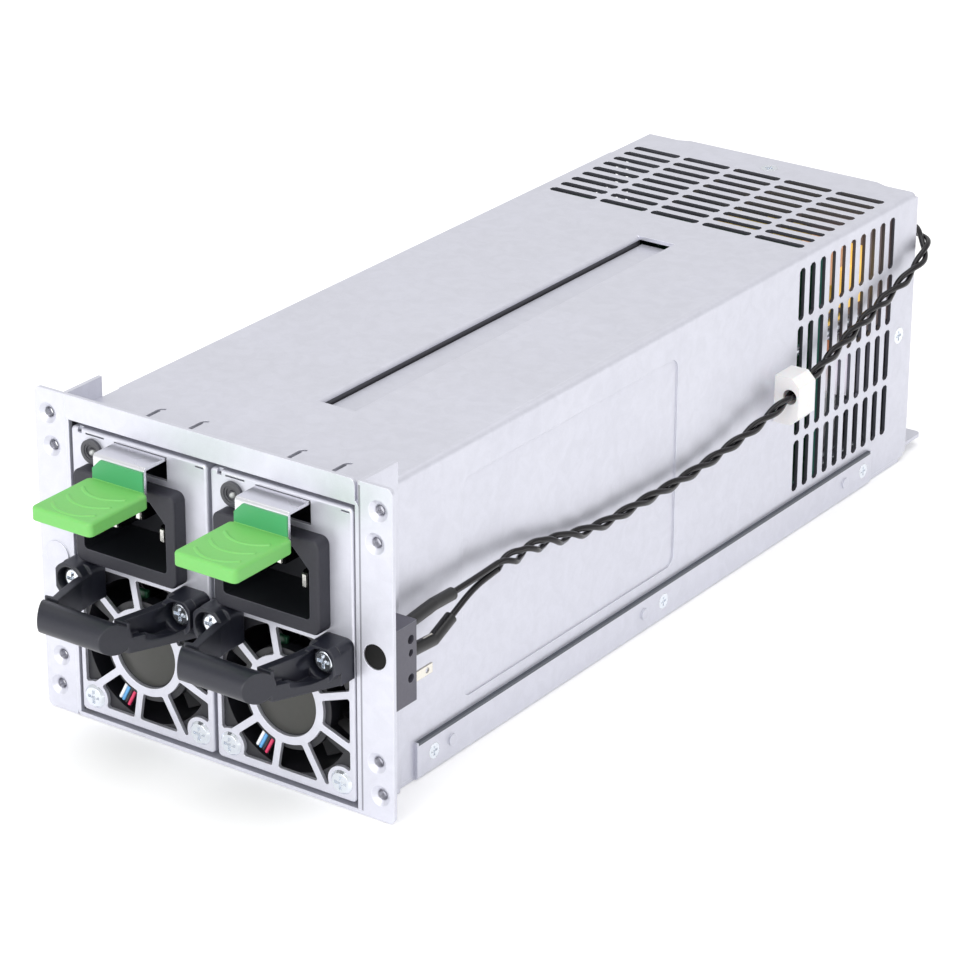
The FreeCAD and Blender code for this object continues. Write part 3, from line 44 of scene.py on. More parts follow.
# Camera. Its place, turn and lens were solved from the photograph's perspective, with the 32 mm
# hole pitch of the two fans as the only known length.
sight_turn = 0.625
sight_tilt = -0.4155
sight_roll = 0.0016
sight = Vector((-math.sin(sight_turn) * math.cos(sight_tilt),
                math.cos(sight_turn) * math.cos(sight_tilt), math.sin(sight_tilt)))
camera = bpy.data.objects.new("camera", bpy.data.cameras.new("camera"))
scene.collection.objects.link(camera)
scene.camera = camera
camera.data.lens = 141.28
camera.data.sensor_width = 36
camera.data.shift_x = 0.04084
camera.data.shift_y = -0.00294
camera.data.clip_start = 0.01
camera.data.clip_end = 20
camera.location = (0.49385, -0.59549, 0.41273)
camera.rotation_mode = "QUATERNION"
camera.rotation_quaternion = sight.to_track_quat("-Z", "Y") @ Quaternion((0, 0, 1), -sight_roll)

# Light. A white room lights every side evenly. A broad lamp above and one at the left front shape
# the folds, and two weak ones on the right lay the pair's soft shadow on the wall.
scene.view_settings.view_transform = "Standard"
room = bpy.data.worlds.new("white room")
scene.world = room
room.use_nodes = True
room.node_tree.nodes["Background"].inputs["Color"].default_value = (1.0, 1.0, 1.0, 1)
room.node_tree.nodes["Background"].inputs["Strength"].default_value = 0.78


def lamp(name, place, target, width, height, power):
    """An area lamp of some size in metres and power in watts, turned to a target."""
    data = bpy.data.lights.new(name, "AREA")
    data.shape = "RECTANGLE"
    data.size = width
    data.size_y = height
    data.energy = power
    light = bpy.data.objects.new(name, data)
    scene.collection.objects.link(light)
    light.location = place
    light.rotation_mode = "QUATERNION"
    light.rotation_quaternion = (Vector(target) - Vector(place)).to_track_quat("-Z", "Y")


lamp("top_light", place=(0.1, 0.0, 1.3), target=(0, 0.1, 0), width=1.4, height=1.4, power=9.5)
lamp("front_light", place=(-0.1, -1.5, 0.45), target=(0, 0, 0.04), width=1.1, height=0.8,
     power=13.8)
lamp("side_light", place=(1.1, -0.7, 0.45), target=(0.04, 0.02, 0.04), width=0.8,
     height=0.8, power=0.4)
lamp("low_light", place=(1.2, 0.45, 0.10), target=(0.04, 0.15, 0.04), width=0.3,
     height=0.16, power=0.7)


# Floor: one pale sheet that runs out of the camera's view on every side. Its finish is the first
# through the surface group, which gives every piece its grain, mottling and softened edges,
# with a painted highlight along them.
def socket(group, name, way, kind, value=None):
    """One input or output of a node group, with its value where nothing is plugged in."""
    made = group.interface.new_socket(name=name, in_out=way, socket_type=kind)
    if value is not None:
        made.default_value = value


def surface_group():
    """Fine mottling in object coordinates, and slightly round edges with a painted highlight on
    them.
    """
    group = bpy.data.node_groups.new("worked surface", "ShaderNodeTree")
    for name in ("Color", "Edge color"):
        socket(group, name, "INPUT", "NodeSocketColor", (0.5, 0.5, 0.5, 1))
    for name, value in (("Edge radius", 0.0002), ("Scale", 900.0), ("Mottle", 0.03),
                        ("Patches", 0.0), ("Rough low", 0.35), ("Rough high", 0.45),
                        ("Relief", 0.00001)):
        socket(group, name, "INPUT", "NodeSocketFloat", value)
    socket(group, "Color", "OUTPUT", "NodeSocketColor")
    socket(group, "Roughness", "OUTPUT", "NodeSocketFloat")
    socket(group, "Normal", "OUTPUT", "NodeSocketVector")
    tree, link = group.nodes, group.links.new
    entry = tree.new("NodeGroupInput")
    leave = tree.new("NodeGroupOutput")
    place = tree.new("ShaderNodeTexCoord")

    def noise(detail, scale=None, distortion=0.0):
        """A noise pattern; without a scale of its own it takes the finish's."""
        made = tree.new("ShaderNodeTexNoise")
        made.inputs["Detail"].default_value = detail
        made.inputs["Distortion"].default_value = distortion
        if scale is None:
            link(entry.outputs["Scale"], made.inputs["Scale"])
        else:
            made.inputs["Scale"].default_value = scale
        link(place.outputs["Object"], made.inputs["Vector"])
        return made.outputs["Fac"]

    def spread_over(value, start, end):
        """The value's run from start to end, as 0 to 1."""
        made = tree.new("ShaderNodeMapRange")
        made.inputs["From Min"].default_value = start
        made.inputs["From Max"].default_value = end
        link(value, made.inputs["Value"])
        return made

    def shade_between(value, start, end, depth):
        """A factor from 1 minus the depth up to 1, as the value runs from start to end."""
        lowest = tree.new("ShaderNodeMath")
        lowest.operation = "SUBTRACT"
        lowest.inputs[0].default_value = 1.0
        link(entry.outputs[depth], lowest.inputs[1])
        made = spread_over(value, start, end)
        link(lowest.outputs["Value"], made.inputs["To Min"])
        return made.outputs["Result"]

    fine = noise(detail=3)
    broad = noise(detail=2, scale=45)
    bloom = noise(detail=4, scale=260, distortion=0.8)
    rough = spread_over(broad, start=0.3, end=0.7)
    link(entry.outputs["Rough low"], rough.inputs["To Min"])
    link(entry.outputs["Rough high"], rough.inputs["To Max"])
    link(rough.outputs["Result"], leave.inputs["Roughness"])

    round_edge = tree.new("ShaderNodeBevel")
    round_edge.samples = 4
    link(entry.outputs["Edge radius"], round_edge.inputs["Radius"])
    flat = tree.new("ShaderNodeNewGeometry")
    lean = tree.new("ShaderNodeVectorMath")
    lean.operation = "DOT_PRODUCT"
    link(round_edge.outputs["Normal"], lean.inputs[0])
    link(flat.outputs["Normal"], lean.inputs[1])
    edge = spread_over(lean.outputs["Value"], start=0.995, end=0.90)

    both = tree.new("ShaderNodeMath")
    both.operation = "MULTIPLY"
    link(shade_between(fine, start=0.2, end=0.8, depth="Mottle"), both.inputs[0])
    link(shade_between(bloom, start=0.35, end=0.65, depth="Patches"), both.inputs[1])
    mottled = tree.new("ShaderNodeVectorMath")
    mottled.operation = "SCALE"
    link(entry.outputs["Color"], mottled.inputs[0])
    link(both.outputs["Value"], mottled.inputs["Scale"])
    # painted highlight: the edge colour is mixed in along the rounded edges
    edge_lit = tree.new("ShaderNodeMix")
    edge_lit.data_type = "RGBA"
    link(edge.outputs["Result"], edge_lit.inputs["Factor"])
    link(mottled.outputs["Vector"], edge_lit.inputs["A"])
    link(entry.outputs["Edge color"], edge_lit.inputs["B"])
    link(edge_lit.outputs["Result"], leave.inputs["Color"])

    bump = tree.new("ShaderNodeBump")
    link(fine, bump.inputs["Height"])
    link(entry.outputs["Relief"], bump.inputs["Distance"])
    link(round_edge.outputs["Normal"], bump.inputs["Normal"])
    link(bump.outputs["Normal"], leave.inputs["Normal"])
    return group


surface = surface_group()
crease = math.radians(35)       # faces that meet at more than this keep a sharp edge


# edge is the colour of a painted highlight along the rounded edges
def finish_of(name, color, rough, metallic=0.0, scale=900.0, mottle=0.04, relief=0.00001,
              edge=None, edge_radius=0.0002, patches=0.0, **more):
    """A Principled material whose colour, roughness and normal come through the surface group."""
    made = bpy.data.materials.new(name)
    made.use_nodes = True
    tree = made.node_tree
    shader = tree.nodes["Principled BSDF"]
    worked = tree.nodes.new("ShaderNodeGroup")
    worked.node_tree = surface
    values = {"Color": (*color, 1), "Edge color": (*(edge or color), 1), "Edge radius": edge_radius,
              "Scale": scale, "Mottle": mottle, "Patches": patches, "Rough low": rough[0],
              "Rough high": rough[1], "Relief": relief}
    for key, value in values.items():
        worked.inputs[key].default_value = value
    for given, taken in (("Color", "Base Color"), ("Roughness", "Roughness"), ("Normal", "Normal")):
        tree.links.new(worked.outputs[given], shader.inputs[taken])
    shader.inputs["Metallic"].default_value = metallic
    for key, value in more.items():
        shader.inputs[key.replace("_", " ")].default_value = value
    return made


def shown(name, shape, material):
    """An object from a bmesh, with one material, smooth but for its sharp edges."""
    mesh = bpy.data.meshes.new(name)
    bmesh.ops.recalc_face_normals(shape, faces=shape.faces)
    shape.to_mesh(mesh)
    shape.free()
    mesh.shade_smooth()
    mesh.set_sharp_from_angle(angle=crease)
    mesh.materials.append(material)
    made = bpy.data.objects.new(name, mesh)
    scene.collection.objects.link(made)
    return made


floor_half = 6.0
floor_drop = 0.0002
floor_sheet = bmesh.new()
bmesh.ops.create_grid(floor_sheet, x_segments=1, y_segments=1, size=floor_half,
                      matrix=Matrix.Translation((0, 0, -floor_drop)))
floor_pale = finish_of("floor", (0.93, 0.93, 0.93), (0.8, 0.9), scale=300, mottle=0.01,
                       relief=0.000001, Emission_Color=(1, 1, 1, 1), Emission_Strength=0.17)
shown("floor", floor_sheet, floor_pale)


# Cage. Two folded shells of zinc-coated steel sheet, the welded ears and the rear panel: pale,
# slightly blue, with a dull even sheen and a painted highlight along the cut edges.
def dress(material, *names):
    """Give CAD nodes a material; a name without its side stands for both supplies."""
    for name in names:
        for full in (name, name + "_left", name + "_right"):
            if full in nodes:
                nodes[full].data.materials.clear()
                nodes[full].data.materials.append(material)


def inside_shade(material, low, high, tone):
    """Tint what lies between two corners, in metres, such as the unlit inside of a bay."""
    tree, link = material.node_tree.nodes, material.node_tree.links.new
    place = tree.new("ShaderNodeTexCoord")
    split = tree.new("ShaderNodeSeparateXYZ")
    link(place.outputs["Object"], split.inputs["Vector"])
    inside = None
    for axis, start, end in zip("XYZ", low, high):
        for limit, way in ((start, "GREATER_THAN"), (end, "LESS_THAN")):
            test = tree.new("ShaderNodeMath")
            test.operation = way
            test.inputs[1].default_value = limit
            link(split.outputs[axis], test.inputs[0])
            if inside:
                both = tree.new("ShaderNodeMath")
                both.operation = "MULTIPLY"
                link(inside, both.inputs[0])
                link(test.outputs["Value"], both.inputs[1])
                inside = both.outputs["Value"]
            else:
                inside = test.outputs["Value"]
    mix = tree.new("ShaderNodeMix")
    mix.data_type = "RGBA"
    base = tree["Principled BSDF"].inputs["Base Color"]
    link(inside, mix.inputs["Factor"])
    link(base.links[0].from_socket, mix.inputs["A"])
    mix.inputs["B"].default_value = (*tone, 1)
    link(mix.outputs["Result"], base)


cage_steel = finish_of("cage steel", (0.66, 0.665, 0.74), (0.34, 0.46), metallic=0.55, scale=2600,
                       mottle=0.05, relief=0.000004, edge=(0.80, 0.81, 0.88), edge_radius=0.00022,
                       patches=0.05)
# Painted shade: the slots' cut faces and the sheet behind them, the inside of the supply bay,
# the top edge of the right lap and the fold of the right ear are tinted darker.
slot_shade = (0.12, 0.123, 0.145)    # cut faces of the slots and the sheet behind them
board_bay = ((-0.0400, 0.1800, 0.0002), (0.0400, 0.2458, 0.07715))
board_bay_wide = ((-0.04205, 0.1800, 0.0015), (0.04205, 0.2458, 0.0752))
supply_bay = ((-0.0412, 0.0012, 0.0011), (0.0412, 0.1801, 0.0761))
lap_edge = ((0.04215, 0.0205, 0.0087), (0.0432, 0.2270, 0.0096))    # shadow over the right lap
ear_joint = ((0.0421, -0.0001, 0.0010), (0.0426, 0.0002, 0.0813))   # right wall to right ear
# each box gets its painted shade tone
for corners, tone in ((board_bay, slot_shade), (board_bay_wide, slot_shade),
                      (supply_bay, (0.08, 0.08, 0.09)), (lap_edge, (0.10, 0.11, 0.13)),
                      (ear_joint, (0.30, 0.30, 0.34))):
    inside_shade(cage_steel, *corners, tone)
dress(cage_steel, "top_shell", "bottom_shell", "ear_left", "ear_right", "rear_panel")

# Threads of the rack ears. Each steel ear is plunged at four places and tapped M3, so a collar
# stands behind each hole and rings of thread show in it.
thread_steel = finish_of("tapped steel", (0.50, 0.50, 0.55), (0.25, 0.35), metallic=0.9,
                         scale=2600, mottle=0.05, relief=0.000003)
thread_bore = 0.00124
thread_crest = 0.00108
thread_pitch = 0.0005
thread_start = 0.00060
thread_flanks = 8
thread_segments = 28
outer_holes = (0.04745, (0.0063, 0.0763))       # distance from the middle, and both heights
inner_holes = (0.0465, (0.0143, 0.0683))
tapped = bmesh.new()
for x, z in [(side * reach, z) for reach, heights in (outer_holes, inner_holes)
             for side in (-1, 1) for z in heights]:
    profile = []
    for turn in range(thread_flanks + 1):
        depth = thread_start + turn * thread_pitch / 2
        radius = thread_crest if turn % 2 else thread_bore
        profile.append(tapped.verts.new((x + radius, depth, z)))
    rings = [tapped.edges.new(pair) for pair in zip(profile, profile[1:])]
    bmesh.ops.spin(tapped, geom=profile + rings, cent=(x, 0, z), axis=(0, 1, 0), angle=2 * math.pi,
                   steps=thread_segments, use_merge=True)
ear_threads = shown("ear_threads", tapped, thread_steel)
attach(ear_threads, "cage")

# Screws. Zinc-plated steel, cross-recessed: flush in the laps, the roof and both walls, flat in the
# fan guards, and pan heads on the rear panel and the handles. The board pillars are plated too.
bright_zinc = finish_of("bright zinc", (0.82, 0.86, 0.92), (0.10, 0.22), metallic=0.95, scale=1500,
                        mottle=0.05, relief=0.000004, edge=(0.95, 0.96, 0.98), edge_radius=0.00012)
dress(bright_zinc, "lap_screws", "panel_screws", "board_spacers", "handle_screws", "guard_screws")

# Edging of the rear panel: a black plastic lining round the opening for the output leads, and a
# rubber grommet snapped in round the switch pair. The card sockets are of the same plastic.
socket_black = finish_of("socket plastic", (0.02, 0.02, 0.022), (0.45, 0.55), scale=1400,
                         mottle=0.2)
rubber_black = finish_of("rubber", (0.02, 0.02, 0.02), (0.6, 0.7), scale=1500, mottle=0.2)
dress(socket_black, "outlet_lining", "unit_sockets")
dress(rubber_black, "pair_grommet")

# Boards in the supplies and behind them: solder-masked glass fibre with taped coils, sleeved
# capacitors and extruded heat sinks. Those behind, with a nylon connector, show through the vents.
board_green = finish_of("board", (0.02, 0.10, 0.05), (0.28, 0.38), scale=1200, mottle=0.2,
                        relief=0.000006)
tape_yellow = finish_of("tape", (0.72, 0.52, 0.08), (0.25, 0.35), mottle=0.08)
can_black = finish_of("can sleeve", (0.02, 0.02, 0.03), (0.2, 0.3), scale=1200, mottle=0.1,
                      relief=0.000004)
nylon_white = finish_of("white nylon", (0.86, 0.85, 0.845), (0.36, 0.46), scale=1200, mottle=0.03,
                        relief=0.000006, Subsurface_Weight=0.15, Subsurface_Scale=0.001)
fin_aluminium = finish_of("fin aluminium", (0.72, 0.73, 0.75), (0.34, 0.42), metallic=0.9,
                          scale=1500, relief=0.000003)
dress(board_green, "backplane_board", "converter_board", "main_board")
dress(tape_yellow, "converter_coils", "transformer")
dress(can_black, "converter_capacitors", "bulk_capacitors")
dress(nylon_white, "output_connector")
dress(fin_aluminium, "converter_heat_sink", "heat_sink")

# Parts on the converter board, as seen through the right vents: the board's bare green edge, a
# choke in tan tape, a coil in yellow tape, a brown potted filter, winding ends and a white
# connector with three ribs. They stand on the board or on the parts beside them.
def soft_box(shape, low, high, bevel):
    """Add a box between two corners, in metres, with its edges bevelled."""
    size = [b - a for a, b in zip(low, high)]
    middle = [(a + b) / 2 for a, b in zip(low, high)]
    made = bmesh.ops.create_cube(shape, size=1.0, matrix=Matrix.Translation(middle)
                                 @ Matrix.Diagonal((*size, 1)))
    edges = list(dict.fromkeys(edge for vert in made["verts"] for edge in vert.link_edges))
    bmesh.ops.bevel(shape, geom=edges, offset=bevel, segments=2, profile=0.5,
                    affect="EDGES", material=-1)


def lit(name, color, glow, patches):
    """A part of the unlit bay; its own faint light stands for what falls in through the slots."""
    return finish_of(name, color, (0.35, 0.45), mottle=0.2, patches=patches,
                     Emission_Color=(*color, 1), Emission_Strength=glow)


edge_green = lit("board edge", (0.045, 0.16, 0.13), glow=0.35, patches=0.2)
tape_tan = lit("tan tape", (0.66, 0.36, 0.20), glow=0.55, patches=0.2)
tape_bright = lit("yellow tape", (0.95, 0.60, 0.15), glow=0.75, patches=0.2)
potting = lit("potting", (0.15, 0.115, 0.115), glow=0.55, patches=0.3)
copper = lit("winding", (0.55, 0.20, 0.10), glow=0.35, patches=0.3)
rib_white = lit("connector rib", (0.72, 0.69, 0.76), glow=0.55, patches=0.1)
board_front, board_rear = 0.2010, 0.2026
part_inner, part_outer = 0.0300, 0.0394     # the parts' reach towards the right wall
rib_outer = 0.0410                          # inside of the wall
part_round = 0.0003
behind_vents = {
    "converter_board_edge": (edge_green, "circuit_board", [
        ((0.0395, board_front, 0.0046), (rib_outer, board_rear, 0.0732))]),
    "choke_tape": (tape_tan, "yellow_tape", [
        ((part_inner, board_rear, 0.0622), (part_outer, 0.2114, 0.0728)),
        ((part_inner, 0.2112, 0.0658), (part_outer, 0.2140, 0.0728))]),
    "coil_tape": (tape_bright, "yellow_tape", [
        ((part_inner, 0.2166, 0.0529), (part_outer, 0.2214, 0.0635)),
        ((part_inner, 0.2212, 0.0529), (part_outer, 0.2262, 0.0678))]),
    "filter_block": (potting, "can_sleeve", [
        ((0.0220, 0.2272, 0.0430), (part_outer, 0.2420, 0.0726))]),
    "winding_ends": (copper, "tinned_brass", [
        ((0.0370, board_rear, 0.0362), (part_outer, 0.2092, 0.0466))]),
    "connector_ribs": (rib_white, "white_nylon", [
        ((part_inner, 0.2070, 0.0330), (rib_outer, 0.2098, 0.0425)),
        ((part_inner, 0.2122, 0.0302), (rib_outer, 0.2152, 0.0425)),
        ((part_inner, 0.2174, 0.0282), (rib_outer, 0.2204, 0.0425)),
        ((part_inner, board_rear, 0.0330), (0.0386, 0.2210, 0.0423))])}
for name, (material, slot, boxes) in behind_vents.items():
    shape = bmesh.new()
    for low, high in boxes:
        soft_box(shape, low, high, part_round)
    made = shown(name, shape, material)
    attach(made, "cage")

# Supplies. Each case is a folded tray with a lid, and its front is folded over both; the same
# coated sheet as the cage, painted a little darker as shade in the recess between the ears, with
# the same painted highlight along its edges.
unit_steel = finish_of("unit steel", (0.65, 0.655, 0.73), (0.34, 0.42), metallic=0.55, scale=2600,
                       mottle=0.05, relief=0.000004, edge=(0.86, 0.86, 0.92), patches=0.05)
dress(unit_steel, "case_tray", "case_lid", "front_panel")

# Mains inlets: a glass-filled nylon moulding with a matte bezel and a cavity painted darker as
# shade, and three flat pins of plated brass moulded in its back, painted dark as shade behind
# their tips.
inlet_black = finish_of("inlet nylon", (0.022, 0.022, 0.032), (0.48, 0.60), scale=1600,
                        mottle=0.25, edge=(0.09, 0.09, 0.115), edge_radius=0.0003)
unit_middles = {"left": -0.0205, "right": 0.0205}
inlet_shift = -0.0015           # the inlets sit left of the middle
cavity_half = 0.0124
cavity_front, cavity_rear = -0.0037, 0.0200
cavity_low, cavity_high = 0.0469, 0.0640
pins_behind_tips = ((-0.05, 0.0014, 0.0), (0.05, 0.03, 0.08))
# painted shade in each inlet's cavity
for middle in unit_middles.values():
    x = middle + inlet_shift
    inside_shade(inlet_black, (x - cavity_half, cavity_front, cavity_low),
                 (x + cavity_half, cavity_rear, cavity_high), (0.005, 0.006, 0.010))
pin_plate = finish_of("pin plate", (0.85, 0.84, 0.80), (0.18, 0.26), metallic=0.95, scale=1500,
                      mottle=0.03, relief=0.000002)
# painted shade on the pins' sides behind their tips
inside_shade(pin_plate, *pins_behind_tips, (0.06, 0.06, 0.065))
dress(inlet_black, "inlet")
dress(pin_plate, "inlet_pins")

# Pull handles: one satin black nylon moulding each, a bar on two legs, screwed through pockets in
# its feet. A painted highlight makes its rounded edges a little lighter than its faces.
handle_black = finish_of("handle nylon", (0.014, 0.015, 0.025), (0.32, 0.42), scale=1600,
                         mottle=0.2, edge=(0.034, 0.035, 0.046), edge_radius=0.0006)
dress(handle_black, "pull_handle")

# Release levers: a leaf of brushed spring steel under each case roof, with a green thumb pad
# moulded on its nose. The pad's upright tongue, in front of the leaf, is painted a deeper green as
# shade.
spring_steel = finish_of("spring steel", (0.74, 0.74, 0.78), (0.22, 0.30), metallic=0.85,
                         scale=1800, mottle=0.03, relief=0.000003, edge=(0.9, 0.9, 0.92),
                         edge_radius=0.00015)
pad_green = finish_of("pad green", (0.158, 0.485, 0.113), (0.40, 0.50), scale=1500, mottle=0.05,
                      relief=0.000006, edge=(0.21, 0.60, 0.16), edge_radius=0.0003,
                      Subsurface_Weight=0.12, Subsurface_Scale=0.001)
pad_tongues = ((-0.05, -0.0083, 0.0682), (0.05, -0.0076, 0.0735))
# painted shade on the pads' upright tongues
inside_shade(pad_green, *pad_tongues, (0.06, 0.33, 0.13))
dress(spring_steel, "release_lever")
dress(pad_green, "lever_pad")

# Fans: black glass-filled housings and impellers, and a motor base whose front carries a bare
# grey label inside the eye of the guard.
fan_black = finish_of("fan plastic", (0.012, 0.012, 0.016), (0.34, 0.44), scale=1400, mottle=0.2,
                      relief=0.000008)
dress(fan_black, "fan_frame", "fan_rotor")
label_grey = finish_of("fan label", (0.038, 0.038, 0.034), (0.30, 0.40), scale=700, mottle=0.12,
                       relief=0.000003)
fan_middle = 0.0224
label_radius = 0.0086
label_depth = 0.00092           # middle of the label behind the front of the supply
label_sheet = 0.00012
label_round = 0.00004
label_segments = 72


def soft_disc(shape, place, segments, radius, depth, bevel):
    """Make a disc or rod in an empty shape, with its two rims rounded."""
    bmesh.ops.create_cone(shape, cap_ends=True, segments=segments, radius1=radius, radius2=radius,
                          depth=depth, matrix=place)
    rims = [edge for edge in shape.edges if any(len(face.verts) > 4 for face in edge.link_faces)]
    bmesh.ops.bevel(shape, geom=rims, offset=bevel, segments=2, profile=0.5, affect="EDGES",
                    material=-1)


for side, middle in unit_middles.items():
    disc = bmesh.new()
    place = Matrix.Translation((middle, label_depth, fan_middle))
    place = place @ Matrix.Rotation(math.radians(90), 4, "X")
    soft_disc(disc, place, label_segments, label_radius, label_sheet, label_round)
    label = shown("fan_label_" + side, disc, label_grey)
    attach(label, "unit_" + side)

# Motor leads: four stranded leads in plastic jackets from each fan's motor. They lie side by side
# along one strut and run out to the housing.
jacket_colours = {"white": (0.85, 0.87, 0.90), "blue": (0.12, 0.38, 0.72),
                  "black": (0.02, 0.02, 0.025), "red": (0.70, 0.05, 0.14)}
jackets = {colour: finish_of(colour + " jacket", tone, (0.2, 0.3), scale=1500, mottle=0.05,
                             relief=0.000003) for colour, tone in jacket_colours.items()}
strut_angle = math.radians(-118)
motor_lead_radius = 0.00044
motor_lead_pitch = 0.00094
motor_lead_length = 0.0046
motor_lead_round = 0.00012
motor_lead_segments = 20
motor_lead_reach = 0.01525      # middle of the leads from the fan's axis
motor_lead_depth = 0.00175      # behind the front of the supply
for side, middle in unit_middles.items():
    for number, (colour, jacket) in enumerate(jackets.items()):
        across = (number - (len(jackets) - 1) / 2) * motor_lead_pitch
        lead = bmesh.new()
        place = Matrix.Translation((middle, 0, fan_middle)) @ Matrix.Rotation(-strut_angle, 4, "Y")
        place = place @ Matrix.Translation((motor_lead_reach, motor_lead_depth, across))
        place = place @ Matrix.Rotation(math.radians(90), 4, "Y")
        soft_disc(lead, place, motor_lead_segments, motor_lead_radius, motor_lead_length,
                  motor_lead_round)
        made = shown("motor_lead_" + colour + "_" + side, lead, jacket)
        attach(made, "unit_" + side)
        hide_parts("fan_leads_" + side)

# Motor boards: each motor is driven by a small green glass-fibre board, fixed behind its base. Its
# edge shows above the base.
strip_low = Vector((-0.0049, 0.0030, 0.0118))       # from the middle of the fan's front
strip_high = Vector((-0.0014, 0.0042, 0.0142))
strip_round = 0.0002
for side, middle in unit_middles.items():
    strip = bmesh.new()
    axis = Vector((middle, 0, fan_middle))
    soft_box(strip, axis + strip_low, axis + strip_high, strip_round)
    made = shown("motor_board_" + side, strip, board_green)
    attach(made, "unit_" + side)

# Status lamps: a charcoal nylon collar snapped into each front panel, round the domed end of a
# clear light pipe.
collar_grey = finish_of("lamp collar", (0.06, 0.06, 0.07), (0.3, 0.4), scale=1500, mottle=0.1,
                        relief=0.000004, edge=(0.12, 0.12, 0.14), edge_radius=0.00015)
lens_clear = finish_of("lamp lens", (0.42, 0.43, 0.43), (0.05, 0.10), scale=1200, mottle=0.03,
                       relief=0.000002, Coat_Weight=1.0)
dress(collar_grey, "status_lamp")
lens_radius = 0.00085
lens_place = Vector((-0.0133, -0.0003, 0.0700))     # from the middle of a supply
for side, middle in unit_middles.items():
    dome = bmesh.new()
    place = Matrix.Translation(lens_place + Vector((middle, 0, 0)))
    bmesh.ops.create_uvsphere(dome, u_segments=28, v_segments=16, radius=lens_radius, matrix=place)
    lens = shown("lamp_lens_" + side, dome, lens_clear)
    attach(lens, "unit_" + side)

# Reset switch: a grey moulded snap-action switch behind the right ear, its round button reaching
# the hole in the ear, with tinned tab terminals at its rear.
switch_grey = finish_of("switch plastic", (0.10, 0.097, 0.125), (0.45, 0.55), scale=1500,
                        mottle=0.15, edge=(0.26, 0.26, 0.30))
tinned = finish_of("tinned brass", (0.76, 0.73, 0.66), (0.22, 0.32), metallic=0.9, scale=1500,
                   mottle=0.05, relief=0.000003)
dress(switch_grey, "switch_body")
dress(tinned, "switch_terminals")
button_black = finish_of("button", (0.004, 0.004, 0.004), (0.4, 0.5), scale=1400, mottle=0.1,
                         relief=0.000004, Specular_IOR_Level=0.2)
dress(button_black, "reset_button")

# Sleeves and leads of the switch: heat-shrink tube over the soldered terminals, and the two black
# leads that come out of it.
sleeve_black = finish_of("sleeve", (0.012, 0.012, 0.014), (0.30, 0.42), scale=1800, mottle=0.25,
                         relief=0.00002)
jacket_black = finish_of("wire jacket", (0.006, 0.005, 0.007), (0.12, 0.20), scale=1800, mottle=0.2,
                         relief=0.000004, Specular_IOR_Level=0.38)
dress(sleeve_black, "lead_sleeves")
dress(jacket_black, "switch_leads", "twisted_pair")

# Twisted pair: the two leads wound round each other, open for the first three turns, tight after
# them and a little open again near the rear. It runs along the right wall, through the clip and
# round the rear edge into the grommet.
pair_points = [
    (0.0464, 0.0469, 0.0450), (0.0457, 0.0625, 0.0444), (0.0452, 0.0760, 0.0410),
    (0.0450, 0.0925, 0.0379), (0.0452, 0.1100, 0.0379), (0.0450, 0.1285, 0.0371),
    (0.0453, 0.1455, 0.0381), (0.0461, 0.1605, 0.0399), (0.0469, 0.1785, 0.0436),
    (0.0467, 0.1930, 0.0467), (0.0456, 0.2075, 0.0496), (0.0452, 0.2240, 0.0532),
    (0.0457, 0.2385, 0.0568), (0.0454, 0.2510, 0.0618), (0.0343, 0.2588, 0.0638),
    (0.0216, 0.2520, 0.0630), (0.0216, 0.2388, 0.0630)]
lead_radius = 0.00075
twist_step = 0.0012
twist_pitch = 0.0195
twist_start = math.radians(90)
tight_spread = 1.02             # of the radius, where the leads lie on each other
open_spread = 0.9               # more of the radius in an open eye
first_eyes_end = 0.058          # along the pair
later_eyes_middle = 0.180
later_eyes_half = 0.036
later_eyes_share = 0.5


def nurbs_curve(name, points, resolution):
    """A curve that starts and ends on its points and has the others as controls."""
    data = bpy.data.curves.new(name, "CURVE")
    data.dimensions = "3D"
    line = data.splines.new("NURBS")
    line.points.add(len(points) - 1)
    for at, point in zip(line.points, points):
        at.co = (*point, 1)
    line.order_u = 3
    line.use_endpoint_u = True
    line.resolution_u = resolution
    return data


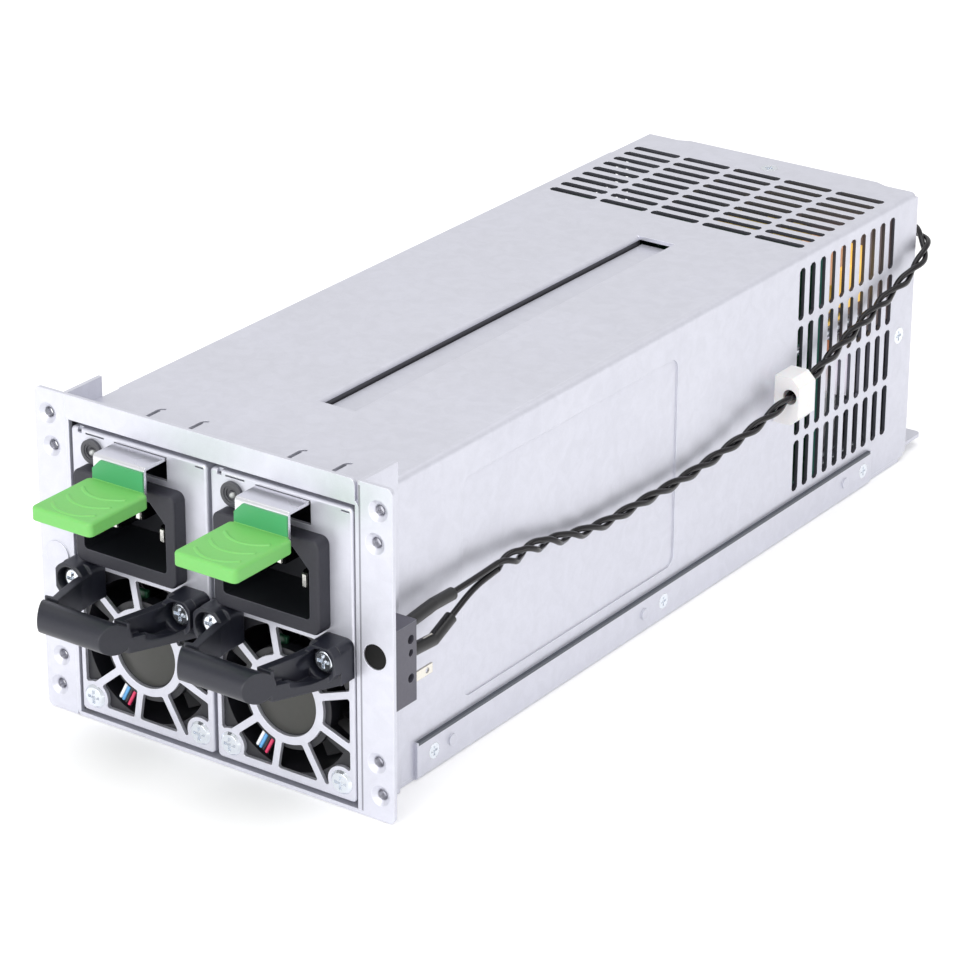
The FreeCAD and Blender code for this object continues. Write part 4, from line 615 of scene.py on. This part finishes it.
def spline_points(points):
    """The smooth line of a route, as points read from its curve."""
    route = bpy.data.objects.new("route", nurbs_curve("route", points, resolution=24))
    read = bpy.data.meshes.new_from_object(route)
    found = [v.co.copy() for v in read.vertices]
    bpy.data.objects.remove(route)
    bpy.data.meshes.remove(read)
    return found


def steps(line, spacing):
    """Points and headings that are evenly spaced along a line of points."""
    travelled = [0.0]
    for a, b in zip(line, line[1:]):
        travelled.append(travelled[-1] + (b - a).length)
    count = max(2, round(travelled[-1] / spacing))
    places, at = [], 0
    for number in range(count + 1):
        target = travelled[-1] * number / count
        while at < len(line) - 2 and travelled[at + 1] < target:
            at += 1
        share = (target - travelled[at]) / (travelled[at + 1] - travelled[at])
        places.append(line[at].lerp(line[at + 1], share))
    headings = []
    for number in range(len(places)):
        low, high = max(0, number - 1), min(len(places) - 1, number + 1)
        headings.append((places[high] - places[low]).normalized())
    return places, headings


def spread(travelled):
    """Distance of each lead from the middle of the pair, some way along it."""
    later = later_eyes_share * (1 - abs(travelled - later_eyes_middle) / later_eyes_half)
    eyes = max(0.0, 1.0 - travelled / first_eyes_end, later)
    opening = abs(math.sin(math.pi * travelled / (twist_pitch / 2)))
    return lead_radius * (tight_spread + open_spread * eyes * opening)


def strand(name, phase):
    """One lead of the pair, wound round the route."""
    places, headings = steps(spline_points(pair_points), twist_step)
    side = headings[0].cross(Vector((0, 0, 1))).normalized()
    points = []
    for number, (place, heading) in enumerate(zip(places, headings)):
        if number:
            turn = headings[number - 1].rotation_difference(heading)
            side = turn @ side
        side = (side - heading * side.dot(heading)).normalized()
        wind = phase + 2 * math.pi * number * twist_step / twist_pitch
        points.append(place + Quaternion(heading, wind) @ side * spread(number * twist_step))
    data = nurbs_curve(name, points, resolution=3)
    data.bevel_depth = lead_radius
    data.bevel_resolution = 4
    data.use_fill_caps = True
    data.materials.append(jacket_black)
    made = bpy.data.objects.new(name, data)
    scene.collection.objects.link(made)
    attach(made, "cage")
    return made


strand_one = strand("pair_strand_one", twist_start)
strand_two = strand("pair_strand_two", twist_start + math.pi)
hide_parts("twisted_pair")

# Clip: a white nylon block with its outer corners cut off, riveted to the right wall before the
# slots. The pair runs through its eye.
dress(nylon_white, "cable_clip")
